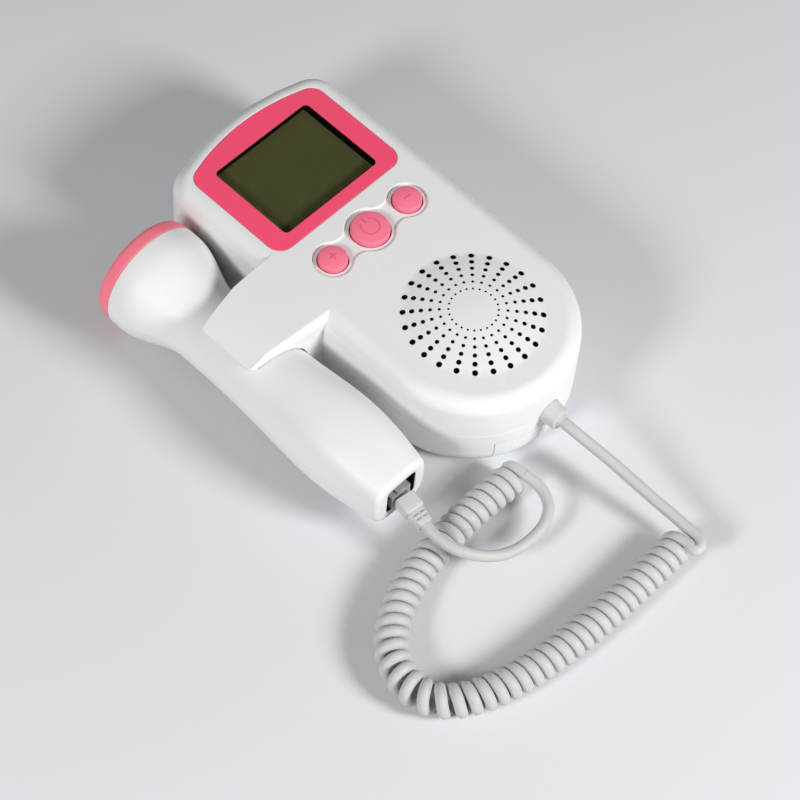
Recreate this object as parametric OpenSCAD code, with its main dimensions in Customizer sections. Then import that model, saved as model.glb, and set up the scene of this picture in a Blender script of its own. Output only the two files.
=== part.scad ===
// Handheld fetal doppler monitor: main unit with display, keys and speaker, and a
// round-headed probe that sits in a side clip and hangs on a curly cord.
// Millimetres. +Z up, +Y towards the display end, the probe on the -X side.
// Origin: middle of the main housing's flat back, on the surface it lies on.

/* [Housing] */
// Width of the main housing
body_w = 66; // [60:1:80]
// Length of the main housing
body_l = 137; // [130:1:165]
// Height of the front housing, parting line to front face
front_h = 15.9; // [15.2:0.1:20]
// Thickness of the side walls and the back
wall = 2; // [1.8:0.1:2.4]
// Thickness of the front face
front_t = 2.6; // [2.4:0.1:3.2]
// Radius of the rounded front edge
front_r = 5.2; // [3:0.2:6]
// Radius of the rounded back edge
back_r = 8.6; // [6:0.2:9]
// Radius of the two corners at the display end
corner_r = 9.5; // [9.5:0.5:13]
// Radius of the bowed display end
arch_r = 86; // [80:1:160]

/* [Display] */
// Width of the window
window_w = 40; // [32:0.5:42]
// Height of the window
window_h = 32; // [26:0.5:33]
// Distance from the display end to the window's middle
window_from_end = 29.4; // [28:0.2:31]
// Width of the coloured frame
frame_w = 53.4; // [50:0.2:54.6]
// Thickness of the coloured frame
frame_t = 1.6; // [1.2:0.1:1.8]
// Thickness of the window pane
pane_t = 1; // [0.8:0.1:1.2]
// Thickness of the display glass
glass_t = 2.8; // [2:0.1:3]

/* [Keys] */
// Distance from the window's middle to the row of keys
keys_from_window = 31.8; // [30.5:0.1:34]
// Diameter of the power key
power_d = 12.3; // [10:0.1:13]
// Diameter of the two volume keys
volume_d = 9.2; // [8:0.1:10]
// Distance from the power key to each volume key
key_pitch = 16; // [15:0.1:17]
// Travel of a key
key_travel = 0.6; // [0.4:0.1:0.8]
// Gap round a key
key_gap = 0.35; // [0.25:0.05:0.5]

/* [Speaker] */
// Radius of the outermost ring of sound holes
grille_r = 21; // [18:0.5:21.5]
// Height of the grille's dome
dome_h = 2.9; // [1.5:0.1:3.2]
// Diameter of the speaker
speaker_d = 46; // [44:0.5:46]
// Number of rows of sound holes
grille_rows = 24; // [12:1:24]

/* [Side clip] */
// Length of the clip along the probe
clip_l = 27.4; // [20:0.2:28]
// Reach of the clip beyond the probe's middle
clip_reach = 9; // [4:0.2:10]
// Gap between the clip and the probe
clip_gap = 0.4; // [0.3:0.05:0.6]

/* [Probe] */
// Diameter of the probe's head
head_d = 36.4; // [34:0.2:44]
// Diameter of the neck, held in the clip
neck_d = 24.4; // [22:0.2:26]
// Greatest diameter of the handle
belly_d = 27.4; // [26:0.2:31]
// Width of the handle's tail
tail_w = 20.4; // [20:0.2:27]
// Height of the handle's tail
tail_h = 18.8; // [18.6:0.2:25]
// Distance from the tail to the widest place
tail_l = 30.5; // [24:0.5:36]
// Distance from the widest place to the neck
belly_l = 40; // [34:0.5:50]
// Length of the flare from neck to head
flare_l = 22; // [18:0.5:27]
// Thickness of the probe's shells
shell_t = 1.8; // [1.5:0.1:2.2]
// Clear distance between the housing and the head
head_gap = 0.8; // [0.7:0.1:4]

/* [Batteries] */
// Diameter of a cell
cell_d = 14.3; // [13.5:0.1:14.5]
// Length of a cell's can
cell_l = 49.2; // [44:0.1:49.4]
// Width of the battery door
door_w = 35; // [33:0.5:36]

/* [Cord] */
// Diameter of the cord
cord_d = 3; // [2.6:0.1:3]
// Mean radius of the curls
curl_r = 3.7; // [3.5:0.1:3.8]
// Number of curls
curls = 48; // [20:1:48]

/* [Hidden] */

$fn = 64;
cut = 1;                // how far cutters run past a face
fit = 0.15;             // gap between pieces that drop into each other
bore_fit = 0.05;        // radial running fit
table_gap = 0.4;        // the probe's head hangs just clear of the table

// Heights
part_z = head_d / 2 + table_gap;
body_h = part_z + front_h;
front_in_z = body_h - front_t;
frame_z = body_h - frame_t;
glass_z = front_in_z - glass_t;
backlight_t = 3.5;
board_t = 1.6;
board_top = glass_z - backlight_t;

// Plan of the main housing
half_w = body_w / 2;
half_l = body_l / 2;
end_y = half_w - half_l;                 // middle of the round speaker end
arch_y = half_l - arch_r;
corner_x = half_w - corner_r;
corner_y = arch_y + sqrt(pow(arch_r - corner_r, 2) - pow(corner_x, 2));
arch_half = asin(corner_x / (arch_r - corner_r));
end_steps = 32;
corner_steps = 6;
arch_steps = 6;
edge_steps = 6;

// Display
window_y = half_l - window_from_end;
window_r = 2;
frame_below = 4;                         // frame edge below the window
frame_above = 7.9;                       // top of the frame's arch above the window
frame_arch_r = 73;
frame_corner = 5;
glass_w = window_w + 6;
glass_h = window_h + 6.5;
pane_border = 1.7;

// Keys
keys_y = window_y - keys_from_window;
recess_h = 1;
recess_border = 1.6;
recess_neck = 7.6;
recess_fillet = 5;
key_rise = 0.6;
flange_t = 1.2;
flange_rim = 1;
key_rest = 0.3;                          // flange below the front face
stem_d = 4.4;
plunger_d = 3.5;
switch_size = 6;
switch_h = 3;
switch_bore = 1.4;
KEYS = [[0, power_d], [key_pitch, volume_d], [-key_pitch, volume_d]];

// Speaker
dome_edge = grille_r + 1.5;
dome_r = (pow(dome_edge, 2) + pow(dome_h, 2)) / (2 * dome_h);
dome_t = 1.6;
grille_rings = 6;
grille_inner = 7.5;
hole_small = 0.7;
hole_large = 1.8;
gasket_t = 0.8;
flange_r = speaker_d / 2;
speaker_lip = 1.1;
speaker_rib = 1.2;
speaker_top = front_in_z - gasket_t;
magnet_d = 20;
magnet_h = 4.2;
basket_h = 6.5;

// Side clip and probe axis
probe_x = -(half_w + head_gap + head_d / 2);
probe_z = part_z;
clip_y = keys_y + 0.2;
clip_y0 = clip_y - clip_l / 2;
clip_y1 = clip_y + clip_l / 2;
clip_edge = 3;                           // rounded edge on the speaker side
clip_sink = 6;                           // how far the clip runs into the housing
jaw_t = 3.5;
jaw_edge = 1.4;
jaw_end = 1;                             // lower jaw and the seat end just past the probe's middle
tip_drop = 1.5;
tip_dip = 0.3;                           // dip of the clip's top over the probe
tip_slope = 8;
tip_run = 18;
tip_low_r = 2.5;                         // plan corner on the speaker side
tip_high_r = 1.5;
tip_low_in = 2.4;                        // how far the tip's corners lie in from the clip's sides
tip_high_in = 3.6;
bow_x = 16.5;                            // bow of the display side, from the tip
bow_in = 0.6;

// Stations along the probe, from the tail to the face
neck_from_clip = 5.5;
neck_l = 10;
neck_y = clip_y + neck_from_clip;
belly_y = neck_y - belly_l;
tail_y = belly_y - tail_l;
head_y = neck_y + neck_l + flare_l;
rim_l = 3.6;
join_y = head_y + rim_l;
face_rim = 4.6;
face_edge_d = head_d - 2.2;
face_bulge = 2.6;
face_t = 1.6;
skirt_l = 3;
ring_sides = 32;

// Screws
boss_r = 3;
post_r = 3.8;
screw_r = 1.25;
head_r = 2.3;
head_h = 1.8;
head_seat = 9;
screw_bite = 9;
low_angle = 12;
boss_x = half_w - wall - boss_r + 0.4;      // the bosses run into the side wall
BOSSES = [[boss_x * cos(low_angle), end_y - boss_x * sin(low_angle)],
          [-boss_x * cos(low_angle), end_y - boss_x * sin(low_angle)],
          [boss_x, window_y + 10],
          [-boss_x, window_y + 10]];

// Board and its four standoffs
board_w = 2 * (half_w - 9.5);
board_y0 = keys_y - 13.5;
board_y1 = window_y + glass_h / 2 + 1;
standoff_r = 2.1;
standoff_x = 19.5;
STANDOFFS = [[standoff_x, board_y0 + 3], [-standoff_x, board_y0 + 3],
             [standoff_x, keys_y + 8.7], [-standoff_x, keys_y + 8.7]];
board_screw_r = 0.8;
board_screw_l = 5;

// Battery bay
door_t = wall;
cell_gap = 0.4;
cell_z = door_t + cell_gap + cell_d / 2;
cell_x = cell_d / 2 + 0.4;
bay_half = cell_d + 1.1;
bay_wall = 1.4;
bay_y0 = -half_l + 7.5;
spring_l = 1.8;
nub_l = 1.3;
nub_r = 2.75;
contact_t = 0.5;
bay_l = cell_l + nub_l + spring_l + 2 * contact_t;
bay_top = cell_z + cell_d / 2 + cell_gap;
door_y1 = bay_y0 + bay_l + 2;
ledge_t = 1.4;                           // the door's edges close against this ledge
ledge_w = 3;
door_top = 13.2;
door_gap = 0.2;
tongue_t = 0.9;
tongue_w = 1.1;
tongue_z = 1.05;
tongue_l = 9;
TONGUES = [bay_y0 + 11, door_y1 - 19];   // their middles along Y
groove_end = door_y1 - 19 + tongue_l / 2 + door_gap;

// Cord
gland_r = 4;
gland_end_r = 3.2;
gland_l = 5.9;
gland_neck_r = 2.5;
gland_flange_t = 1.8;
spot_depth = 0.4;
gland_y = -half_l + spot_depth;
gland_face = gland_y - gland_l;
plug_block = [6.4, 6.4, 4.8];
plug_relief = [4.8, 5.2, 4.2];
plug_z = probe_z - 2.2;                  // the plug sits low in its well
plug_yaw = 8;                            // the lead pulls the plug's grip a little aside
plug_pitch = 5;
plug_y1 = tail_y;                        // inner end of the plug's grip
plug_straight = 2;
plug_bend = [probe_x, plug_y1 - plug_straight, plug_z];
plug_dir = [-sin(plug_yaw) * cos(plug_pitch), -cos(plug_yaw) * cos(plug_pitch),
            -sin(plug_pitch)];
relief_y = plug_straight - plug_block[1];
plug_out = plug_bend + (plug_relief[1] - relief_y) * plug_dir;
curl_rings = 8;
curl_sides = 6;
lead_sides = 8;
run_z = curl_r + cord_d / 2;             // the coil lies on the table
// Middle line of the coil: two curves that share their middle point
COIL_A = [[0, -122], [-49, -124], [-90, -120], [-90, -99.5]];
COIL_B = [[-90, -99.5], [-90, -81.5], [-66, -68.8], [-17, -72.4]];

function smooth(u) = (1 - cos(180 * max(0, min(1, u)))) / 2;
function sum(v, i = 0) = i < len(v) ? v[i] + sum(v, i + 1) : 0;
function unit(v) = v / norm(v);
function spow(v, p) = sign(v) * pow(abs(v), p);

// Plan outline of the main housing, drawn in by an inset, counter-clockwise
function outline(inset) = concat(
    [for (i = [0 : end_steps]) let (a = 180 + 180 * i / end_steps)
        [(half_w - inset) * cos(a), end_y + (half_w - inset) * sin(a)]],
    [for (i = [0 : corner_steps]) let (a = (90 - arch_half) * i / corner_steps)
        [corner_x + (corner_r - inset) * cos(a), corner_y + (corner_r - inset) * sin(a)]],
    [for (i = [1 : arch_steps - 1]) let (a = 90 - arch_half + 2 * arch_half * i / arch_steps)
        [(arch_r - inset) * cos(a), arch_y + (arch_r - inset) * sin(a)]],
    [for (i = [0 : corner_steps]) let (a = 90 + arch_half + (90 - arch_half) * i / corner_steps)
        [-corner_x + (corner_r - inset) * cos(a), corner_y + (corner_r - inset) * sin(a)]]);

// Closed solid through rings of points that all have the same number of points
module loft(rings) {
    n = len(rings[0]);
    last = len(rings) - 1;
    polyhedron(
        points = [for (r = rings) each r],
        faces = concat(
            [[for (i = [0 : n - 1]) i]],
            [[for (i = [n - 1 : -1 : 0]) last * n + i]],
            [for (k = [0 : last - 1], i = [0 : n - 1]) let (j = (i + 1) % n)
                [k * n + i, k * n + n + i, k * n + n + j]],
            [for (k = [0 : last - 1], i = [0 : n - 1]) let (j = (i + 1) % n)
                [k * n + i, k * n + n + j, k * n + j]]));
}

// Housing form between two heights, with rounded edges
module housing_form(inset, z0, z1, r0, r1, steps) {
    low = [for (i = [0 : steps]) let (a = 90 * i / steps)
        [z0 + r0 * (1 - cos(a)), inset + r0 * (1 - sin(a))]];
    high = [for (i = [steps : -1 : 0]) let (a = 90 * i / steps)
        [z1 - r1 * (1 - cos(a)), inset + r1 * (1 - sin(a))]];
    loft([for (s = concat(low, high)) [for (p = outline(s[1])) [p[0], p[1], s[0]]]]);
}

module body_outer() { housing_form(0, 0, body_h, back_r, front_r, edge_steps); }

module body_inner() {
    housing_form(wall, wall, front_in_z, back_r - wall, front_r - wall, 3);
}

// Box given by its middle in X and Y and its lower height
module block(w, l, h, at) { translate([at[0] - w / 2, at[1] - l / 2, at[2]]) cube([w, l, h]); }

module rod(r, z0, z1, at) { translate([at[0], at[1], z0]) cylinder(r = r, h = z1 - z0); }

// Slab with rounded upright corners
module slab(w, l, h, r, at) {
    block(w - 2 * r, l, h, at);
    block(w, l - 2 * r, h, at);
    for (i = [-1, 1], j = [-1, 1])
        rod(r, at[2], at[2] + h, [at[0] + i * (w / 2 - r), at[1] + j * (l / 2 - r)]);
}

// Everything above or below the parting line
module above(z) { translate([-200, -200, z]) cube([400, 400, 100]); }
module below(z) { translate([-200, -200, z - 100]) cube([400, 400, 100]); }

// ---- side clip ----

// Half the probe's thickness at a place along it
function handle_r(y) = y < belly_y
    ? tail_w / 2 + (belly_d - tail_w) / 2 * sin(90 * max(0, (y - tail_y) / tail_l))
    : y < neck_y ? (belly_d - (belly_d - neck_d) * smooth((y - belly_y) / belly_l)) / 2
    : (neck_d + (head_d - neck_d) * smooth((y - neck_y - neck_l) / flare_l)) / 2;
function handle_h(y) = y < belly_y
    ? tail_h / 2 + (belly_d - tail_h) / 2 * sin(90 * max(0, (y - tail_y) / tail_l))
    : handle_r(y);
function handle_square(y) = 2 + 1.5 * (1 - smooth((y - tail_y) / (tail_l + belly_l / 2)));

clip_r = max(handle_r(clip_y0), handle_r(clip_y1)) + clip_gap;
clip_tip = probe_x - clip_reach;
upper_jaw = probe_z + clip_r;
lower_jaw = probe_z - clip_r;
clip_run = -half_w - clip_tip + cut;
tip_turn = atan(tip_low_in / (-half_w - clip_tip - tip_low_r));

// Section of the clip across the probe: flat jaws round a half-round seat
module clip_section() {
    root = -half_w + clip_sink;
    jaw_x = probe_x - jaw_end;
    lip_x = clip_reach - jaw_end / 2;
    lip_z = body_h - upper_jaw;
    difference() {
        polygon([[root, lower_jaw - jaw_t], [jaw_x + clip_edge + 2, lower_jaw - jaw_t],
                 [jaw_x, lower_jaw - jaw_edge], [jaw_x, body_h - tip_dip],
                 [clip_tip + tip_run, body_h], [root, body_h]]);
        translate([clip_tip - cut, lower_jaw]) square([probe_x - clip_tip + cut, 2 * clip_r]);
        translate([probe_x, probe_z]) circle(r = clip_r);
    }
    translate([clip_tip, upper_jaw])
        polygon([[0, 0], [lip_x, 0], [lip_x, lip_z - tip_dip], [tip_slope, lip_z - tip_dip],
                 [0, lip_z - tip_drop]]);
}

// Plan of the clip
module clip_plan() {
    hull() {
        translate([-half_w, clip_y0]) square([2, clip_l]);
        translate([clip_tip + tip_low_r, clip_y0 + tip_low_in + tip_low_r])
            circle(r = tip_low_r, $fn = 32);
        translate([clip_tip + tip_high_r, clip_y1 - tip_high_in - tip_high_r])
            circle(r = tip_high_r, $fn = 32);
        translate([clip_tip + bow_x, clip_y1 - bow_in - tip_high_r])
            circle(r = tip_high_r, $fn = 32);
    }
    root = -half_w + clip_sink;
    polygon([[-half_w, clip_y0], [root, clip_y0 - clip_sink * tan(tip_turn)],
             [root, clip_y1], [-half_w, clip_y1]]);
}

module clip() {
    difference() {
        intersection() {
            translate([0, clip_y1 + cut, 0]) rotate([90, 0, 0])
                linear_extrude(clip_l + 2 * cut) clip_section();
            translate([0, 0, -cut]) linear_extrude(body_h + 2 * cut) clip_plan();
        }
        // rounded front edge on the speaker side
        translate([-half_w, clip_y0, body_h]) rotate([0, 0, -tip_turn])
            translate([-clip_run, 0, 0]) rotate([90, 0, 90])
                linear_extrude(clip_run + clip_sink + cut) edge_cutter(clip_edge);
    }
}

// Corner of material outside a rounded edge
module edge_cutter(r) {
    difference() {
        translate([-cut, -r]) square([r + cut, r + cut]);
        translate([r, -r]) circle(r = r);
    }
}

// ---- main unit, plastics ----

module frame_outline(inset) {
    top = window_y + window_h / 2 + frame_above;
    low = window_y - window_h / 2 - frame_below;
    offset(r = frame_corner - inset) offset(delta = -frame_corner) intersection() {
        translate([-frame_w / 2, low]) square([frame_w, top - low]);
        translate([0, top - frame_arch_r]) circle(r = frame_arch_r, $fn = 240);
    }
}

module key_recess() {
    translate([0, keys_y, body_h - recess_h]) linear_extrude(recess_h + cut)
        offset(r = -recess_fillet) offset(r = recess_fillet) {
            for (k = KEYS) translate([k[0], 0]) circle(d = k[1] + 2 * recess_border);
            translate([-key_pitch, -recess_neck / 2]) square([2 * key_pitch, recess_neck]);
        }
}

module grille_holes() {
    for (k = [0 : grille_rings - 1], i = [0 : grille_rows - 1]) {
        r = grille_inner + (grille_r - grille_inner) * k / (grille_rings - 1);
        hole = hole_small + (hole_large - hole_small) * k / (grille_rings - 1);
        rotate(360 * i / grille_rows) translate([r, 0, -front_t - cut])
            cylinder(d = hole, h = front_t + dome_h + 2 * cut, $fn = 16);
    }
}

module grille_dome() {
    intersection() {
        difference() {
            translate([0, 0, dome_h - dome_r]) sphere(r = dome_r, $fn = 180);
            translate([0, 0, dome_h - dome_r]) sphere(r = dome_r - dome_t, $fn = 180);
        }
        translate([0, 0, -front_t]) cylinder(r = dome_edge, h = front_t + dome_h + cut);
    }
}

module gland_notch() {
    translate([0, gland_y, part_z]) rotate([90, 0, 0]) {
        cylinder(r = gland_r + fit, h = 5);
        translate([0, 0, -8]) cylinder(r = gland_neck_r + bore_fit, h = 10);
    }
}

module front_housing() {
    color("white") difference() {
        union() {
            difference() {
                union() {
                    body_outer();
                    clip();
                }
                body_inner();
                below(part_z);
                translate([0, end_y, front_in_z - cut])
                    cylinder(r = grille_r - 1.5, h = front_t + 2 * cut);
            }
            translate([0, end_y, body_h]) grille_dome();
            // wall round the speaker
            difference() {
                rod(flange_r + fit + speaker_rib, speaker_top - 5, front_in_z + 0.2, [0, end_y]);
                rod(flange_r + fit, speaker_top - 5 - cut, front_in_z + cut, [0, end_y]);
            }
            for (p = BOSSES) rod(boss_r, part_z, front_in_z + 0.2, p);
            for (p = STANDOFFS) rod(standoff_r, board_top, front_in_z + 0.2, p);
        }
        translate([0, 0, frame_z]) linear_extrude(frame_t + cut) frame_outline(-fit);
        slab(window_w + 2 * pane_border + 2 * fit, window_h + 2 * pane_border + 2 * fit, front_t,
             window_r + pane_border, [0, window_y, front_in_z - cut]);
        key_recess();
        for (k = KEYS) rod(k[1] / 2 + key_gap, front_in_z - cut, body_h + cut, [k[0], keys_y]);
        translate([0, end_y, body_h]) grille_holes();
        for (p = BOSSES) rod(screw_r + bore_fit, part_z - cut, part_z + screw_bite + cut, p);
        for (p = STANDOFFS) rod(board_screw_r + bore_fit, board_top - cut, board_top + 4, p);
        gland_notch();
    }
}

module door_space(grow) {
    w = door_w + 2 * grow;
    translate([-w / 2, -half_l - 5, -cut]) cube([w, door_y1 + grow + half_l + 5, door_top + grow + cut]);
}

module rear_housing() {
    color("white") difference() {
        union() {
            difference() {
                union() {
                    body_outer();
                    clip();
                }
                body_inner();
                above(part_z);
            }
            // battery bay and screw posts, kept within the wall
            intersection() {
                union() {
                    block(2 * (bay_half + bay_wall), bay_l + 2 * bay_wall, bay_top + bay_wall,
                          [0, bay_y0 + bay_l / 2, 0]);
                    translate([-door_w / 2 - ledge_w, -half_l, wall - 0.1])
                        cube([door_w + 2 * ledge_w, half_l + door_y1 + ledge_w,
                              ledge_t + door_gap + 0.1]);
                    for (p = BOSSES) rod(post_r, 0, part_z, p);
                }
                housing_form(wall / 2, wall / 2, body_h, back_r - wall / 2, front_r, 3);
            }
        }
        block(2 * bay_half, bay_l, bay_top + cut, [0, bay_y0 + bay_l / 2, -cut]);
        // opening for the door, through the back and up the round end
        difference() {
            door_space(door_gap);
            housing_form(wall + door_gap, wall + door_gap, front_in_z, back_r - wall - door_gap,
                         front_r - wall, 3);
        }
        // grooves for the door's tongues
        for (i = [-1, 1])
            block(tongue_w + 2 * door_gap, groove_end + half_l + cut, tongue_t + door_gap,
                  [i * (door_w + tongue_w + door_gap) / 2, (groove_end - half_l - cut) / 2,
                   tongue_z - door_gap / 2]);
        for (p = BOSSES) {
            rod(head_r + 0.5, -cut, head_seat, p);
            rod(screw_r + bore_fit, head_seat - cut, part_z + cut, p);
        }
        gland_notch();
    }
}

module battery_door() {
    color("white") difference() {
        union() {
            intersection() {
                difference() {
                    body_outer();
                    body_inner();
                }
                door_space(0);
            }
            for (i = [-1, 1], y = TONGUES)
                block(tongue_w + 1, tongue_l, tongue_t,
                      [i * (door_w + tongue_w - 1) / 2, y, tongue_z]);
        }
        // three finger grooves on the back
        for (i = [0 : 2])
            translate([-7, -half_l + 16 + 3 * i, -0.2]) cube([14, 1.4, 0.8]);
    }
}

module display_frame() {
    color("#ff5070") difference() {
        translate([0, 0, frame_z]) linear_extrude(frame_t) frame_outline(0);
        slab(window_w, window_h, frame_t + 2 * cut, window_r, [0, window_y, frame_z - cut]);
    }
}

module window_pane() {
    color("lightgrey", 0.4)
        slab(window_w + 2 * pane_border, window_h + 2 * pane_border, pane_t,
             window_r + pane_border, [0, window_y, frame_z - pane_t]);
}

module key_cap(d, x) {
    rest = front_in_z - key_rest;
    rise_r = (pow(d / 2, 2) + pow(key_rise, 2)) / (2 * key_rise);
    color("#ff6e90") {
        rod(d / 2, rest - flange_t, body_h, [x, keys_y]);
        rod(d / 2 + key_gap + flange_rim, rest - flange_t, rest, [x, keys_y]);
        rod(stem_d / 2, plunger_top, rest - flange_t + 0.1, [x, keys_y]);
        intersection() {
            translate([x, keys_y, body_h + key_rise - rise_r]) sphere(r = rise_r, $fn = 128);
            rod(d / 2, body_h - 0.1, body_h + key_rise + cut, [x, keys_y]);
        }
    }
}

plunger_top = board_top + switch_h + 1;

module power_key() { key_cap(power_d, 0); }
module volume_up_key() { key_cap(volume_d, -key_pitch); }
module volume_down_key() { key_cap(volume_d, key_pitch); }

module plunger(x) {
    color("dimgrey")
        rod(plunger_d / 2, plunger_top - 1 - key_travel, plunger_top, [x, keys_y]);
}

module power_plunger() { plunger(0); }
module volume_up_plunger() { plunger(-key_pitch); }
module volume_down_plunger() { plunger(key_pitch); }

// ---- main unit, inside ----

module tact_switches() {
    color("silver") for (k = KEYS) difference() {
        block(switch_size, switch_size, switch_h, [k[0], keys_y, board_top]);
        rod(plunger_d / 2 + bore_fit, board_top + switch_h - switch_bore,
            board_top + switch_h + cut, [k[0], keys_y]);
    }
}

module display_glass() {
    color("#44442a") block(glass_w, glass_h, glass_t, [0, window_y, glass_z]);
}

module backlight() {
    color("ivory") block(glass_w, glass_h, backlight_t, [0, window_y, board_top]);
}

module main_board() {
    color("green") difference() {
        block(board_w, board_y1 - board_y0, board_t,
              [0, (board_y0 + board_y1) / 2, board_top - board_t]);
        for (p = STANDOFFS)
            rod(board_screw_r + bore_fit, board_top - board_t - cut, board_top + cut, p);
    }
}

// Chips, [width, length, height, x, distance from the window's middle]
CHIPS = [[9, 9, 1.6, 0, -4], [5, 4, 1.5, -13, 6], [5, 4, 1.5, 12, -12], [8, 5, 4, 10, -41.2]];
// Round capacitors, [radius, height, x, distance from the window's middle]
CAPS = [[2.5, 4.5, -12, -36.4], [2, 4, 14, 8]];

module board_parts() {
    under = board_top - board_t;
    color("black") {
        for (c = CHIPS) block(c[0], c[1], c[2], [c[3], window_y + c[4], under - c[2]]);
        for (c = CAPS) rod(c[0], under - c[1], under, [c[2], window_y + c[3]]);
    }
}

module board_screws() {
    under = board_top - board_t;
    color("silver") for (p = STANDOFFS) {
        rod(board_screw_r, under - 0.1, under + board_screw_l, p);
        rod(1.6, under - 1.2, under, p);
    }
}

module housing_screws() {
    color("silver") for (p = BOSSES) difference() {
        union() {
            rod(head_r, head_seat - head_h, head_seat, p);
            rod(screw_r, head_seat - 0.1, part_z + screw_bite, p);
        }
        for (a = [0, 90]) translate([p[0], p[1], head_seat - head_h - cut])
            rotate(a) block(2.6, 0.7, 1 + cut, [0, 0, 0]);
    }
}

module speaker_gasket() {
    color("black") difference() {
        rod(flange_r, speaker_top, front_in_z, [0, end_y]);
        rod(flange_r - speaker_lip, speaker_top - cut, front_in_z + cut, [0, end_y]);
    }
}

module speaker_basket() {
    color("silver") translate([0, end_y, speaker_top]) rotate_extrude()
        polygon([[magnet_d / 2 - 4, -basket_h], [magnet_d / 2 - 4, -basket_h + 0.8],
                 [magnet_d / 2 + 1, -basket_h + 0.8], [flange_r - 3.4, -1],
                 [flange_r - 3, 0], [flange_r, 0], [flange_r, -1],
                 [flange_r - 2.4, -1.6], [magnet_d / 2 + 2, -basket_h]]);
}

module speaker_cone() {
    color("dimgrey") translate([0, end_y, speaker_top]) rotate_extrude()
        polygon([[0, -2.6], [4, -3], [8, -4.2], [flange_r - 4.2, -0.9], [flange_r - 3.4, 0],
                 [flange_r - 2.5, 0], [flange_r - 2.5, 0.4], [flange_r - 3.8, 0.4],
                 [8, -3.6], [4, -2.4], [0, -2]]);
}

module speaker_magnet() {
    color("grey") rod(magnet_d / 2, speaker_top - basket_h - magnet_h, speaker_top - basket_h,
                      [0, end_y]);
}

module battery(side, flip) {
    plus_y = bay_y0 + contact_t + (flip ? 0 : spring_l) + (flip ? nub_l : 0);
    color("steelblue") translate([side * cell_x, plus_y, cell_z]) rotate([-90, 0, 0]) {
        cylinder(d = cell_d, h = cell_l);
        translate([0, 0, flip ? -nub_l : cell_l - 0.1]) cylinder(r = nub_r, h = nub_l + 0.1);
    }
}

module battery_left() { battery(-1, false); }
module battery_right() { battery(1, true); }

module battery_contacts() {
    plate = 2 * bay_half - 1;
    plate_z = door_t + 3.5;
    plate_h = bay_top - 1 - plate_z;
    color("silver") {
        block(plate, contact_t, plate_h, [0, bay_y0 + contact_t / 2, plate_z]);
        for (i = [-1, 1])
            block(plate / 2 - 0.8, contact_t, plate_h,
                  [i * cell_x, bay_y0 + bay_l - contact_t / 2, plate_z]);
        translate([-cell_x, bay_y0 + contact_t - 0.1, cell_z]) rotate([-90, 0, 0])
            cylinder(r1 = 4, r2 = 3, h = spring_l + 0.1);
        translate([cell_x, bay_y0 + bay_l - contact_t - spring_l, cell_z]) rotate([-90, 0, 0])
            cylinder(r1 = 3, r2 = 4, h = spring_l + 0.1);
    }
}

// ---- cord ----

module cord_gland() {
    color("silver") translate([0, gland_y, part_z]) rotate([90, 0, 0]) {
        cylinder(r1 = gland_r, r2 = gland_end_r, h = gland_l);
        translate([0, 0, -wall - 0.6]) cylinder(r = gland_neck_r, h = wall + 0.7);
        translate([0, 0, -wall - 0.5 - gland_flange_t])
            cylinder(r = gland_r, h = gland_flange_t);
    }
}

// Ring of points round a place on a path, square to the path
function ring(at, along, aside, r, n) = let (t = unit(along), u = unit(cross(t, aside)),
    v = cross(u, t)) [for (i = [0 : n - 1]) at + r * (cos(360 * i / n) * v + sin(360 * i / n) * u)];
function tangent(path, i) = path[min(i + 1, len(path) - 1)] - path[max(i - 1, 0)];

// Tube along a list of points, squared off at both ends
module tube(path, ends) {
    n = len(path) - 1;
    loft([for (i = [0 : n])
        let (t = i == 0 ? ends[0] : i == n ? ends[1] : tangent(path, i))
        ring(path[i], t, [0.02, 0.01, 1], cord_d / 2, lead_sides)]);
}

// Place on a cubic curve and its direction
function bez(p, t) = p[0] * pow(1 - t, 3) + 3 * p[1] * t * pow(1 - t, 2)
    + 3 * p[2] * t * t * (1 - t) + p[3] * pow(t, 3);
function bez_d(p, t) = 3 * (p[1] - p[0]) * pow(1 - t, 2) + 6 * (p[2] - p[1]) * t * (1 - t)
    + 3 * (p[3] - p[2]) * t * t;
function bez_dd(p, t) = 6 * (p[2] - 2 * p[1] + p[0]) * (1 - t) + 6 * (p[3] - 2 * p[2] + p[1]) * t;
function coil_at(s) = s <= 1 ? bez(COIL_A, s) : bez(COIL_B, s - 1);
function coil_dir(s) = s <= 1 ? bez_d(COIL_A, s) : bez_d(COIL_B, s - 1);
function coil_bend(s) = let (d = coil_dir(s), e = s <= 1 ? bez_dd(COIL_A, s) : bez_dd(COIL_B, s - 1))
    abs(d[0] * e[1] - d[1] * e[0]) / pow(norm(d), 3);

// The curls open where the coil bends, so that they keep their gap on the inside:
// the turning so far at even steps along the middle line
coil_steps = 200;
coil_rate = [for (i = [0 : coil_steps]) let (s = 2 * i / coil_steps)
    norm(coil_dir(s)) * (1 - 0.9 * curl_r * coil_bend(s))];
coil_turned = [for (i = 0, v = 0; i <= coil_steps; v = v + (i < coil_steps
    ? (coil_rate[i] + coil_rate[i + 1]) / 2 : 0), i = i + 1) v];
coil_total = coil_turned[coil_steps];

// Place along the middle line where a share of the turning is done
function coil_find(v, lo = 0, hi = coil_steps) = hi - lo < 2
    ? 2 * (lo + (v - coil_turned[lo]) / (coil_turned[hi] - coil_turned[lo])) / coil_steps
    : let (mid = floor((lo + hi) / 2))
      v < coil_turned[mid] ? coil_find(v, lo, mid) : coil_find(v, mid, hi);

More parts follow.
